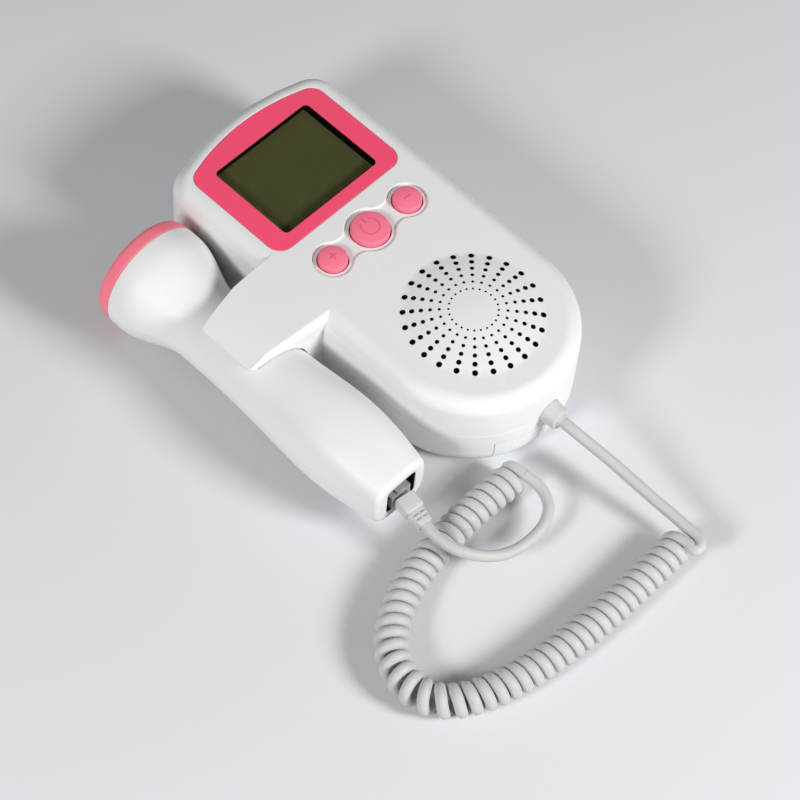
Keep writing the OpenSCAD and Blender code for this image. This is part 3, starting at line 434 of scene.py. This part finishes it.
def bez(p, t):
    return Vector([p[0][k] * (1 - t) ** 3 + 3 * p[1][k] * t * (1 - t) ** 2
                   + 3 * p[2][k] * t * t * (1 - t) + p[3][k] * t ** 3 for k in (0, 1)])


def bez_d(p, t):
    return Vector([3 * (p[1][k] - p[0][k]) * (1 - t) ** 2 + 6 * (p[2][k] - p[1][k]) * t * (1 - t)
                   + 3 * (p[3][k] - p[2][k]) * t * t for k in (0, 1)])


def bez_dd(p, t):
    return Vector([6 * (p[2][k] - 2 * p[1][k] + p[0][k]) * (1 - t)
                   + 6 * (p[3][k] - 2 * p[2][k] + p[1][k]) * t for k in (0, 1)])


def coil_points(per_turn):
    """Points of the curls, which open where the coil bends."""
    steps = 200

    def part(s):
        return (COIL_A, s) if s <= 1 else (COIL_B, s - 1)

    rate = []
    for i in range(steps + 1):
        c, t = part(2 * i / steps)
        d, e = bez_d(c, t), bez_dd(c, t)
        bend = abs(d.x * e.y - d.y * e.x) / d.length ** 3
        rate.append(d.length * (1 - 0.9 * CAD_CURL_R * bend))
    turned_by = [0.0]
    for i in range(steps):
        turned_by.append(turned_by[-1] + (rate[i] + rate[i + 1]) / 2)
    out, lo = [], 0
    n = CURLS * per_turn
    for k in range(n + 1):
        v = turned_by[-1] * k / n
        while lo < steps - 1 and turned_by[lo + 1] < v:
            lo += 1
        s = 2 * (lo + (v - turned_by[lo]) / (turned_by[lo + 1] - turned_by[lo])) / steps
        c, t = part(min(2.0, s))
        p, d = bez(c, t), bez_d(c, t).normalized()
        a = math.radians(90 - 360 * k / per_turn)
        out.append(Vector((p.x + d.y * CURL_R * math.cos(a), p.y - d.x * CURL_R * math.cos(a),
                           RUN_Z + CURL_R * math.sin(a))))
    return out


def spline(points, step):
    """Smooth line through the points (centripetal Catmull-Rom), about one point a step."""
    pts = [Vector(p) for p in points]
    pts = [2 * pts[0] - pts[1]] + pts + [2 * pts[-1] - pts[-2]]
    out = []
    for i in range(1, len(pts) - 2):
        p0, p1, p2, p3 = pts[i - 1:i + 3]
        t0 = 0.0
        t1 = t0 + (p1 - p0).length ** 0.5
        t2 = t1 + (p2 - p1).length ** 0.5
        t3 = t2 + (p3 - p2).length ** 0.5
        n = max(2, round((p2 - p1).length / step))
        for j in range(n):
            t = t1 + (t2 - t1) * j / n
            a1 = p0 * (t1 - t) / (t1 - t0) + p1 * (t - t0) / (t1 - t0)
            a2 = p1 * (t2 - t) / (t2 - t1) + p2 * (t - t1) / (t2 - t1)
            a3 = p2 * (t3 - t) / (t3 - t2) + p3 * (t - t2) / (t3 - t2)
            b1 = a1 * (t2 - t) / (t2 - t0) + a2 * (t - t0) / (t2 - t0)
            b2 = a2 * (t3 - t) / (t3 - t1) + a3 * (t - t1) / (t3 - t1)
            out.append(b1 * (t2 - t) / (t2 - t1) + b2 * (t - t1) / (t2 - t1))
    out.append(pts[-2])
    return out


coil = coil_points(16)
coil_in = coil[1] - coil[0]
coil_in.z = 0
coil_in.normalize()
coil_out = coil[-1] - coil[-2]
coil_out.z = 0
coil_out.normalize()
lead_in = spline(UNIT_LEAD + [tuple(coil[0] - 3 * coil_in)], 1.2)
unit_path = lead_in + coil + [coil[-1] + 3 * coil_out]
coil_end = coil[-1] + 3 * coil_out

cord_curve = bpy.data.curves.new("coiled_cord", "CURVE")
cord_curve.dimensions = "3D"
cord_curve.bevel_depth = CORD_D / 2 * MM
cord_curve.bevel_resolution = 5
cord_curve.use_fill_caps = True
line = cord_curve.splines.new("POLY")
line.points.add(len(unit_path) - 1)
for point, p in zip(line.points, unit_path):
    point.co = (*(p * MM), 1)
line.use_smooth = True
coiled_cord = add_object("coiled_cord", cord_curve)
cord_curve.materials.append(CORD)
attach(coiled_cord, "main_unit")
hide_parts("unit_lead", "coil_cord")


def tube(name, pts, radius, sides=20):
    """Closed tube along a list of points; each ring turns as little as it can from the last."""
    points, faces = [], []
    n = len(pts)
    t_prev, u = None, None
    for i, p in enumerate(pts):
        t = (pts[min(i + 1, n - 1)] - pts[max(i - 1, 0)]).normalized()
        if u is None:
            u = t.orthogonal().normalized()
        else:
            u = (t_prev.rotation_difference(t) @ u)
            u = (u - t * u.dot(t)).normalized()
        t_prev = t
        v = t.cross(u)
        for k in range(sides):
            a = 2 * math.pi * k / sides
            points.append(p + radius * (math.cos(a) * u + math.sin(a) * v))
    for i in range(n - 1):
        for k in range(sides):
            j = (k + 1) % sides
            faces.append((i * sides + k, i * sides + j, (i + 1) * sides + j, (i + 1) * sides + k))
    faces.append(tuple(range(sides))[::-1])
    faces.append(tuple((n - 1) * sides + k for k in range(sides)))
    return mesh_object(name, points, faces, angle=50)


def replace_by(obj, node, body, slot, *mats):
    """Puts a finished piece in a node's place."""
    obj.data.materials.clear()
    for mat in mats:
        obj.data.materials.append(mat)
    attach(obj, body)
    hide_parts(node)
    return obj


def cut(obj, cutter):
    """Takes the cutter out of a piece for good."""
    mod = obj.modifiers.new("cut", "BOOLEAN")
    mod.operation = "DIFFERENCE"
    mod.solver = "EXACT"
    mod.object = cutter
    bpy.context.view_layer.update()
    done = bpy.data.meshes.new_from_object(obj.evaluated_get(bpy.context.evaluated_depsgraph_get()))
    obj.modifiers.clear()
    obj.data = done
    bpy.data.objects.remove(cutter)


def rounded_box(points, faces, low, high, r, place, n=4):
    """Adds a box with rounded upright edges and softened ends along Y to a mesh in the making."""
    (x0, y0, z0), (x1, y1, z1) = low, high
    outline = []
    corners = ((x1 - r, z1 - r, 0), (x0 + r, z1 - r, 90), (x0 + r, z0 + r, 180), (x1 - r, z0 + r, 270))
    for cx, cz, a0 in corners:
        outline += [(cx, cz, math.radians(a0 + 90 * i / n)) for i in range(n + 1)]
    soft = min(0.45, r * 0.8)
    rows = []
    ends = ((y0, soft), (y0 + 0.12, 0.13), (y0 + soft, 0),
            (y1 - soft, 0), (y1 - 0.12, 0.13), (y1, soft))
    for y, inset in ends:
        rows.append([len(points) + i for i in range(len(outline))])
        for cx, cz, a in outline:
            rr = max(0.02, r - inset)
            points.append(place(Vector((cx + rr * math.cos(a), y, cz + rr * math.sin(a)))))
    m = len(outline)
    for a, b in zip(rows, rows[1:]):
        faces += [(a[i], a[(i + 1) % m], b[(i + 1) % m], b[i]) for i in range(m)]
    faces.append(tuple(reversed(rows[0])))
    faces.append(tuple(rows[-1]))


def plug_place(p):
    """From the bent grip's own directions to the frame, in mm."""
    yaw = Matrix.Rotation(math.radians(-PLUG_YAW), 3, "Z")
    pitch = Matrix.Rotation(math.radians(PLUG_PITCH), 3, "X")
    return Vector(PLUG_BEND) + (yaw @ pitch) @ p


def make_plug_grip():
    """Soft-edged grip: a block, a collar and a slotted tapering strain relief."""
    points, faces = [], []
    # each section: its place along the grip, half its width, half its height
    sections = [(1.0, 3.2, 2.4), (-3.1, 3.2, 2.4), (-3.9, 3.16, 2.36), (-4.3, 2.95, 2.2), (-4.42, 2.72, 2.05),
                (-4.62, 2.66, 2.0), (-4.8, 2.74, 2.1), (-6.6, 2.66, 2.1), (-8.4, 2.42, 2.06),
                (-9.3, 2.2, 1.96), (-9.56, 2.06, 1.85)]
    n, m = 6, 28
    rows = []
    for y, hw, hh in sections:
        rows.append([len(points) + i for i in range(m)])
        r = min(0.85, hh - 0.2) if y > -4.4 else 1.15
        corners = ((hw - r, hh - r, 0), (r - hw, hh - r, 90), (r - hw, r - hh, 180), (hw - r, r - hh, 270))
        for cx, cz, a0 in corners:
            for i in range(n + 1):
                a = math.radians(a0 + 90 * i / n)
                points.append(plug_place(Vector((cx + r * math.cos(a), y, cz + r * math.sin(a)))))
    for a, b in zip(rows, rows[1:]):
        faces += [(a[i], a[(i + 1) % m], b[(i + 1) % m], b[i]) for i in range(m)]
    faces.append(tuple(reversed(rows[0])))
    faces.append(tuple(rows[-1]))
    block_low, block_high = (PROBE_X - 3.2, TAIL_Y - 2.5, 14.0), (PROBE_X + 3.2, TAIL_Y, 18.8)
    rounded_box(points, faces, block_low, block_high, 0.85, lambda p: p)
    obj = mesh_object("plug_boot", points, faces, 40, weighted=False)
    for y in (1.6, 3.1):
        for i in (-1, 1):
            for side in (-1, 1):
                pts, fcs = [], []
                rounded_box(pts, fcs, (i * 1.15 - 0.85, -4.4 - y - 0.25, side * 2.1 - 0.5),
                            (i * 1.15 + 0.85, -4.4 - y + 0.25, side * 2.1 + 0.5), 0.15, plug_place, 2)
                cut(obj, mesh_object("slot", pts, fcs, 40, weighted=False))
    finish_mesh(obj, 40)
    return obj


plug_grip = replace_by(make_plug_grip(), "plug_grip", "probe", "cord_grey", GRIP)
probe_path = spline([tuple(coil_end)] + PROBE_LEAD, 1.0)
probe_lead = tube("probe_lead_cord", probe_path, CORD_D / 2)
probe_lead.data.materials.append(CORD)
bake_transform(probe_lead)
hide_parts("probe_lead")

# ---------------------------------------------------------------- housings
def outside(p, z=None, off=0.15):
    """True for a place on the housing's outer outline, which is round at the speaker's end."""
    x, y = p.x, p.y
    if y < END_Y:
        d = math.hypot(x, y - END_Y) - HALF_W
    else:
        d = abs(x) - HALF_W
    return d > -off or y > 55


def at_seam(p, d, length):
    return abs(p.z - PART_Z) < 0.01 and abs(d.z) < 0.01 and (outside(p) or p.x < -HALF_W)


def recess_edge(p, d, length):
    """True for the upper edge of the recess round the keys."""
    level = abs(d.z) <= 0.05 and abs(p.z - BODY_H) < 0.01
    return level and abs(p.y - KEYS_Y) < 9.5 and abs(p.x) < 24


front = cad_copy("front_housing", "front_shell")
for v in front.data.vertices:
    x, y, z = v.co / MM
    if abs(z - BODY_H + RECESS_H) < 0.01 and abs(y - KEYS_Y) < 9 and abs(x) < 24:
        v.co.z += RECESS_RAISE * MM
soften(front, 0.14, at_seam, 2)
soften(front, 0.55, recess_edge, 5)
finish_mesh(front, 30)
replace_by(front, "front_housing", "main_unit", "shell_white", WHITE, PAINTED_HOLE_SHADE)
# painted shade: the walls of the grille holes get the near-black hole colour
for poly in front.data.polygons:
    p = poly.center / MM
    in_hole = p.z > BODY_H - 2.2 and abs(poly.normal.z) < 0.3
    if in_hole and math.hypot(p.x, p.y - END_Y) < GRILLE_EDGE_R:
        poly.material_index = 1

rear = cad_copy("rear_housing", "rear_shell")
soften(rear, 0.14, at_seam, 2)
finish_mesh(rear, 30)
replace_by(rear, "rear_housing", "main_unit", "shell_white", WHITE)


# ---------------------------------------------------------------- display
def rounded_rect(w, low, high, r, inset, n=10):
    """Corner points of a window outline, grown outwards by -inset."""
    out = []
    r2 = max(0.1, r - inset)
    for cx, cy, a0 in ((w / 2 - r, high - r, 0), (r - w / 2, high - r, 90), (r - w / 2, low + r, 180),
                       (w / 2 - r, low + r, 270)):
        out.append([(cx + r2 * math.cos(math.radians(a0 + 90 * i / n)),
                     cy + r2 * math.sin(math.radians(a0 + 90 * i / n))) for i in range(n + 1)])
    return out


def frame_outline(inset, n=10, side=12):
    """Outer outline of the coloured frame: three straight sides and a bowed one, round corners."""
    w, r, big = 53.4 / 2, 5.0, 73.0
    top, low = WINDOW_Y + 16 + 7.9, WINDOW_Y - 16 - 4
    cy = top - big
    cx = w - r
    ay = cy + math.sqrt((big - r) ** 2 - cx ** 2)
    a_top = math.degrees(math.atan2(ay - cy, cx))
    rr = r - inset
    right = [(cx + rr * math.cos(math.radians(a_top * i / n)),
              ay + rr * math.sin(math.radians(a_top * i / n))) for i in range(n + 1)]
    bow = [((big - inset) * math.cos(math.radians(a)), cy + (big - inset) * math.sin(math.radians(a)))
           for a in [a_top + (180 - 2 * a_top) * i / side for i in range(1, side)]]
    left = [(-x, y) for x, y in reversed(right)]
    low_left = [(-cx + rr * math.cos(math.radians(180 + 90 * i / n)),
                 low + r + rr * math.sin(math.radians(180 + 90 * i / n))) for i in range(n + 1)]
    low_right = [(cx + rr * math.cos(math.radians(270 + 90 * i / n)),
                  low + r + rr * math.sin(math.radians(270 + 90 * i / n))) for i in range(n + 1)]
    return right + bow + left + low_left + low_right


def window_outline(inset, n=10, side=12):
    right, left, low_left, low_right = rounded_rect(40, WINDOW_Y - 16, WINDOW_Y + 16, 2.0, -inset, n)
    (x0, y0), (x1, y1) = right[-1], left[0]
    top = [(x0 + (x1 - x0) * i / side, y0 + (y1 - y0) * i / side) for i in range(1, side)]
    return right + top + left + low_left + low_right


def make_frame():
    """Frame with a rounded outer edge, a soft inner edge and dark inner walls."""
    top = BODY_H
    rows = [(frame_outline(-FRAME_GROW), top - 1.6)]
    rows += [(frame_outline(FRAME_EDGE_R * (1 - math.cos(a)) - FRAME_GROW),
              top - FRAME_EDGE_R + FRAME_EDGE_R * math.sin(a))
             for a in [math.radians(90 * i / 5) for i in range(6)]]
    rows += [(window_outline(-0.3 * (1 - math.cos(a))), top - 0.3 + 0.3 * math.sin(a))
             for a in [math.radians(90 * i / 4) for i in range(4, -1, -1)]]
    wall_row = len(rows) - 1
    rows.append((window_outline(0), top - 1.6))
    points = [(x, y, z) for outline, z in rows for x, y in outline]
    m = len(rows[0][0])
    faces = []
    for k in range(len(rows)):
        a, b = k * m, (k + 1) % len(rows) * m
        faces += [(a + i, a + (i + 1) % m, b + (i + 1) % m, b + i) for i in range(m)]
    obj = mesh_object("window_frame", points, faces, 40)
    replace_by(obj, "display_frame", "main_unit", "frame_pink", PINK, WALL)
    for k, poly in enumerate(obj.data.polygons):
        if wall_row * m <= k < (wall_row + 1) * m:
            poly.material_index = 1
    return obj


make_frame()


# ---------------------------------------------------------------- keys
def dome_z(r, d, rise):
    big = ((d / 2) ** 2 + rise ** 2) / (2 * rise)
    return BODY_H + rise - big + math.sqrt(big * big - r * r)


def key_profile(d, rise=KEY_RISE):
    """Half section of a key from the top down: dome, rounded rim, side, flange and stem."""
    r, edge = d / 2, 0.7
    prof = [(0, BODY_H + rise + KEY_LIFT)]
    prof += [(q, dome_z(q, d, rise) + KEY_LIFT) for q in [r * k / 8 for k in range(1, 7)]]
    last = dome_z(r - edge, d, rise) + KEY_LIFT
    prof += [(r - edge + edge * math.sin(a), last - edge * (1 - math.cos(a)) * 0.9)
             for a in [math.radians(90 * i / 6) for i in range(7)]]
    rest = 31.6
    prof += [(r, rest), (r + 1.35, rest), (r + 1.35, rest - 1.2), (2.2, rest - 1.2),
             (2.2, 29.6), (0, 29.6)]
    return prof


def ribbon(points, faces, line, width, closed, height, base):
    """Adds a low raised stroke that follows the key's dome."""
    start, n = len(points), len(line)
    for i, p in enumerate(line):
        a = line[(i - 1) % n] if closed or i > 0 else p
        b = line[(i + 1) % n] if closed or i < n - 1 else p
        t = (b - a).normalized()
        s = Vector((-t.y, t.x)) * width / 2
        for q, up in ((p + s, -0.1), (p + s * 0.8, 1), (p - s * 0.8, 1), (p - s, -0.1)):
            points.append((q.x, q.y, base(q) + (height if up > 0 else -0.05)))
    for i in range(n if closed else n - 1):
        a, b = start + 4 * i, start + 4 * ((i + 1) % n)
        faces += [(a + k, a + k + 1, b + k + 1, b + k) for k in range(3)]
    if not closed:
        faces += [tuple(start + k for k in (3, 2, 1, 0)), tuple(start + 4 * (n - 1) + k for k in range(4))]


def make_key(name, node, body, x, d, strokes):
    key = turned(name, key_profile(d), (x, KEYS_Y, 0), "z", 72, 40)
    replace_by(key, node, body, "key_pink", KEY)
    points, faces = [], []
    for line in strokes:
        ribbon(points, faces, [Vector(p) for p in line], 0.5, False, 0.09,
               lambda q: dome_z(q.length, d, KEY_RISE) + KEY_LIFT)
    mark = mesh_object(name + "_mark", [(p[0] + x, p[1] + KEYS_Y, p[2]) for p in points], faces, 60, False)
    mark.data.materials.append(MARK)
    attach(mark, body)


def ring_line(r, a0, a1, n=40):
    return [(r * math.cos(math.radians(a0 + (a1 - a0) * i / n)),
             r * math.sin(math.radians(a0 + (a1 - a0) * i / n))) for i in range(n + 1)]


make_key("power_cap", "power_key", "power_button", 0, 12.3,
         [ring_line(2.9, 125, 415), [(0, 1.6), (0, 2.6), (0, 3.8)]])
make_key("volume_up_cap", "volume_up_key", "volume_up_button", -16, 9.2,
         [[(-1.3, 0), (0, 0), (1.3, 0)], [(0, -1.3), (0, 0), (0, 1.3)]])
make_key("volume_down_cap", "volume_down_key", "volume_down_button", 16, 9.2,
         [[(-1.3, 0), (0, 0), (1.3, 0)]])


# ---------------------------------------------------------------- probe
def handle_r(y, tail=TAIL_W):
    if y < BELLY_Y:
        return tail / 2 + (BELLY_D - tail) / 2 * math.sin(math.pi / 2 * max(0, (y - TAIL_Y) / TAIL_L))
    if y < NECK_Y:
        return (BELLY_D - (BELLY_D - NECK_D) * smooth((y - BELLY_Y) / BELLY_L)) / 2
    return (NECK_D + (HEAD_D - NECK_D) * smooth((y - NECK_Y - NECK_L) / FLARE_L)) / 2


def spow(v, p):
    return math.copysign(abs(v) ** p, v)


def handle_row(y, inset, groove=0.0, segments=48):
    """Half ring of the handle's surface over the parting plane, with a small groove at its edges."""
    p = 2 / (2 + 1.5 * (1 - smooth((y - TAIL_Y) / (TAIL_L + BELLY_L / 2))))
    w, h = handle_r(y) - inset, handle_r(y, TAIL_H) - inset
    row = [(w - groove, y, 0.0), (w, y, 0.14)]
    for i in range(1, segments):
        a = math.pi * i / segments
        row.append((w * spow(math.cos(a), p), y, max(0.2, h * spow(math.sin(a), p))))
    return row + [(-w, y, 0.14), (groove - w, y, 0.0)]


def well_row(y, hw, hh, segments=48):
    row = [(hw, y, 0.0), (hw, y, 0.14)]
    for i in range(1, segments):
        a = math.pi * i / segments
        row.append((hw * spow(math.cos(a), 0.28), y, max(0.2, hh * spow(math.sin(a), 0.28))))
    return row + [(-hw, y, 0.14), (-hw, y, 0.0)]


def make_probe_shell(name, node, up):
    lip, wall = 1.6, 1.8
    rows = [handle_row(JOIN_Y, 0.32, 0.1), handle_row(JOIN_Y - 0.1, 0.1, 0.12),
            handle_row(JOIN_Y - 0.34, 0, 0.14)]
    y0, y1, n = TAIL_Y + lip, JOIN_Y - 0.34, 64
    rows += [handle_row(y1 + (y0 - y1) * i / n, 0, 0.14) for i in range(1, n + 1)]
    for i in range(1, 7):
        a = math.radians(90 * i / 6)
        rows.append(handle_row(TAIL_Y + lip * (1 - math.sin(a)), lip * (1 - math.cos(a)), 0.14))
    rows += [well_row(TAIL_Y, 6.25, 6.15), well_row(TAIL_Y + 0.08, 6.0, 5.9),
             well_row(TAIL_Y + 0.3, 5.84, 5.74), well_row(TAIL_Y + 0.6, 5.8, 5.7),
             well_row(TAIL_Y + wall + lip, 5.8, 5.7)]
    n = 24
    y0, y1 = TAIL_Y + wall + lip, JOIN_Y
    rows += [handle_row(y0 + (y1 - y0) * i / n, wall) for i in range(n + 1)]
    m = len(rows[0])
    z = 1 if up else -1
    points = [(PROBE_X + x, y, PART_Z + z * h) for row in rows for x, y, h in row]
    faces = []
    k = len(rows)
    for a in range(k):
        b = (a + 1) % k
        faces += [(a * m + i, a * m + i + 1, b * m + i + 1, b * m + i) for i in range(m - 1)]
    faces.append(tuple(a * m for a in range(k)))
    faces.append(tuple(a * m + m - 1 for a in reversed(range(k))))
    obj = mesh_object(name, points, faces, 32, weighted=False)
    if not up:
        for y in PROBE_POSTS:
            h = handle_r(y)
            cut(obj, turned("well", [(0, PART_Z - h - 2), (2.45, PART_Z - h - 2), (2.45, PART_Z - h - 0.02),
                                     (2.1, PART_Z - h + 0.35), (2.1, PART_Z - h + 4), (0, PART_Z - h + 4)],
                            (PROBE_X, y, 0), "z", 40))
    finish_mesh(obj, 32)
    replace_by(obj, node, "probe", "shell_white", WHITE, PAINTED_HOLE_SHADE)
    # painted shade: the walls of the tail well get the near-black hole colour
    for poly in obj.data.polygons:
        p = poly.center / MM
        if TAIL_Y + 0.35 < p.y < TAIL_Y + 3.6 and abs(p.x - PROBE_X) < 5.9 and abs(p.z - PART_Z) < 5.8:
            poly.material_index = 1
    for k, y in enumerate(PROBE_POSTS):
        h = handle_r(y) - 0.9
        if up:
            base = PART_Z + (1.6 if k == 0 else 0)
            prof = [(1.05, base), (2.8, base), (2.8, PART_Z + h), (0, PART_Z + h),
                    (0, PART_Z + 7.2), (1.05, PART_Z + 7)]
        else:
            prof = [(1.05, PART_Z), (2.8, PART_Z), (2.8, PART_Z - h), (2.12, PART_Z - h),
                    (2.12, PART_Z - 6.5), (1.05, PART_Z - 6.5), (1.05, PART_Z)]
        post = turned(name + "_post%d" % k, prof, (PROBE_X, y, 0), "z", 40)
        post.data.materials.append(WHITE)
        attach(post, "probe")


make_probe_shell("probe_top", "probe_upper_shell", True)
make_probe_shell("probe_bottom", "probe_lower_shell", False)

EDGE_R, RIM, BULGE = (HEAD_D - 2.2) / 2, 4.6, 2.6
big = (EDGE_R ** 2 + BULGE ** 2) / (2 * BULGE)
face_profile = [(17.8, 0.0), (18.08, 0.1), (18.2, 0.35), (18.12, 1.6), (17.98, 3.0), (17.86, 3.6),
                (17.66, 4.1), (17.4, 4.42)]
face_profile += [(q, RIM + BULGE - big + math.sqrt(big * big - q * q)) for q in
                 [EDGE_R * k / 12 for k in range(12, 0, -1)]]
face_profile += [(0, RIM + BULGE), (0, 3.0), (14.65, 3.0), (14.65, -3.0), (16.25, -3.0),
                 (16.25, 0.0), (17.8, 0.0)]
replace_by(turned("head_cap", face_profile, (PROBE_X, JOIN_Y, PART_Z), "y", 112, 45), "probe_face", "probe",
           "head_pink", HEAD)

# ---------------------------------------------------------------- cord gland
# its heights run outwards from the housing, along -Y
gland_profile = [(0, -4.4), (3.8, -4.4), (4.0, -4.2), (4.0, -2.8), (3.8, -2.6), (2.5, -2.6), (2.5, -0.35),
                 (3.7, -0.3), (3.97, 0.0), (4.0, 0.35), (3.92, 1.2), (3.62, 4.4), (3.5, 4.9),
                 (3.22, 5.16), (2.75, 5.24), (2.3, 5.24), (2.26, 5.5), (2.2, 5.8), (1.9, 5.9), (0, 5.9)]
replace_by(turned("cord_boot", gland_profile, (0, GLAND_Y, PART_Z), "-y", 72, 40), "cord_gland", "main_unit",
           "cord_grey", GRIP)


# ---------------------------------------------------------------- carried-over nodes
def dress(node, mat):
    data = nodes[node].data
    data.materials.clear()
    data.materials.append(mat)


FINISHES = {
    "battery_door": WHITE, "window_pane": PANE, "display_glass": LCD, "backlight": DIFFUSER,
    "main_board": BOARD, "board_parts": CHIP, "board_screws": STEEL, "housing_screws": STEEL,
    "power_plunger": PLUNGER, "volume_up_plunger": PLUNGER, "volume_down_plunger": PLUNGER,
    "tact_switches": SWITCH, "speaker_gasket": FOAM, "speaker_basket": PLATE, "speaker_cone": CONE,
    "speaker_magnet": MAGNET, "battery_left": CELL_LEFT, "battery_right": CELL_RIGHT,
    "battery_contacts": PLATE, "plug_tip": CLEAR, "plug_contacts": GOLD, "probe_socket": BLACK,
    "socket_pins": GOLD, "transducer_discs": GOLD, "disc_carrier": FOAM, "probe_board": BOARD,
    "probe_parts": CHIP, "probe_screws": STEEL
}
for name, mat in FINISHES.items():
    dress(name, mat)

# ---------------------------------------------------------------- floor and light
floor_mesh = bpy.data.meshes.new("floor")
floor_mesh.from_pydata([(-6, -6, 0), (6, -6, 0), (6, 6, 0), (-6, 6, 0)], [], [(0, 1, 2, 3)])
floor = add_object("floor", floor_mesh)
floor_mat, floor_tree, floor_bsdf = new_material("floor")
floor_bsdf.inputs["Base Color"].default_value = srgb(220, 222, 225)
floor_bsdf.inputs["Roughness"].default_value = 0.7
floor_bsdf.inputs["Specular IOR Level"].default_value = 0.2
floor_mesh.materials.append(floor_mat)


def area_light(name, at, target, size, power, color=(1, 1, 1)):
    data = bpy.data.lights.new(name, "AREA")
    data.shape = "DISK"
    data.size = size
    data.energy = power
    data.color = color
    obj = bpy.data.objects.new(name, data)
    bpy.context.scene.collection.objects.link(obj)
    obj.location = at
    obj.rotation_euler = (Vector(target) - Vector(at)).to_track_quat("-Z", "Y").to_euler()


area_light("key", (0.231, -0.826, 0.545), (0, -0.02, 0), 0.3, 8.4)
area_light("fill", (-0.83, -0.03, 0.55), (0, 0, 0), 0.25, 4.65)
world = bpy.data.worlds.new("world")
bpy.context.scene.world = world
world.use_nodes = True
world.node_tree.nodes["Background"].inputs["Color"].default_value = (0.96, 0.98, 1.0, 1)
world.node_tree.nodes["Background"].inputs["Strength"].default_value = 0.215
bpy.context.scene.view_settings.view_transform = "Standard"
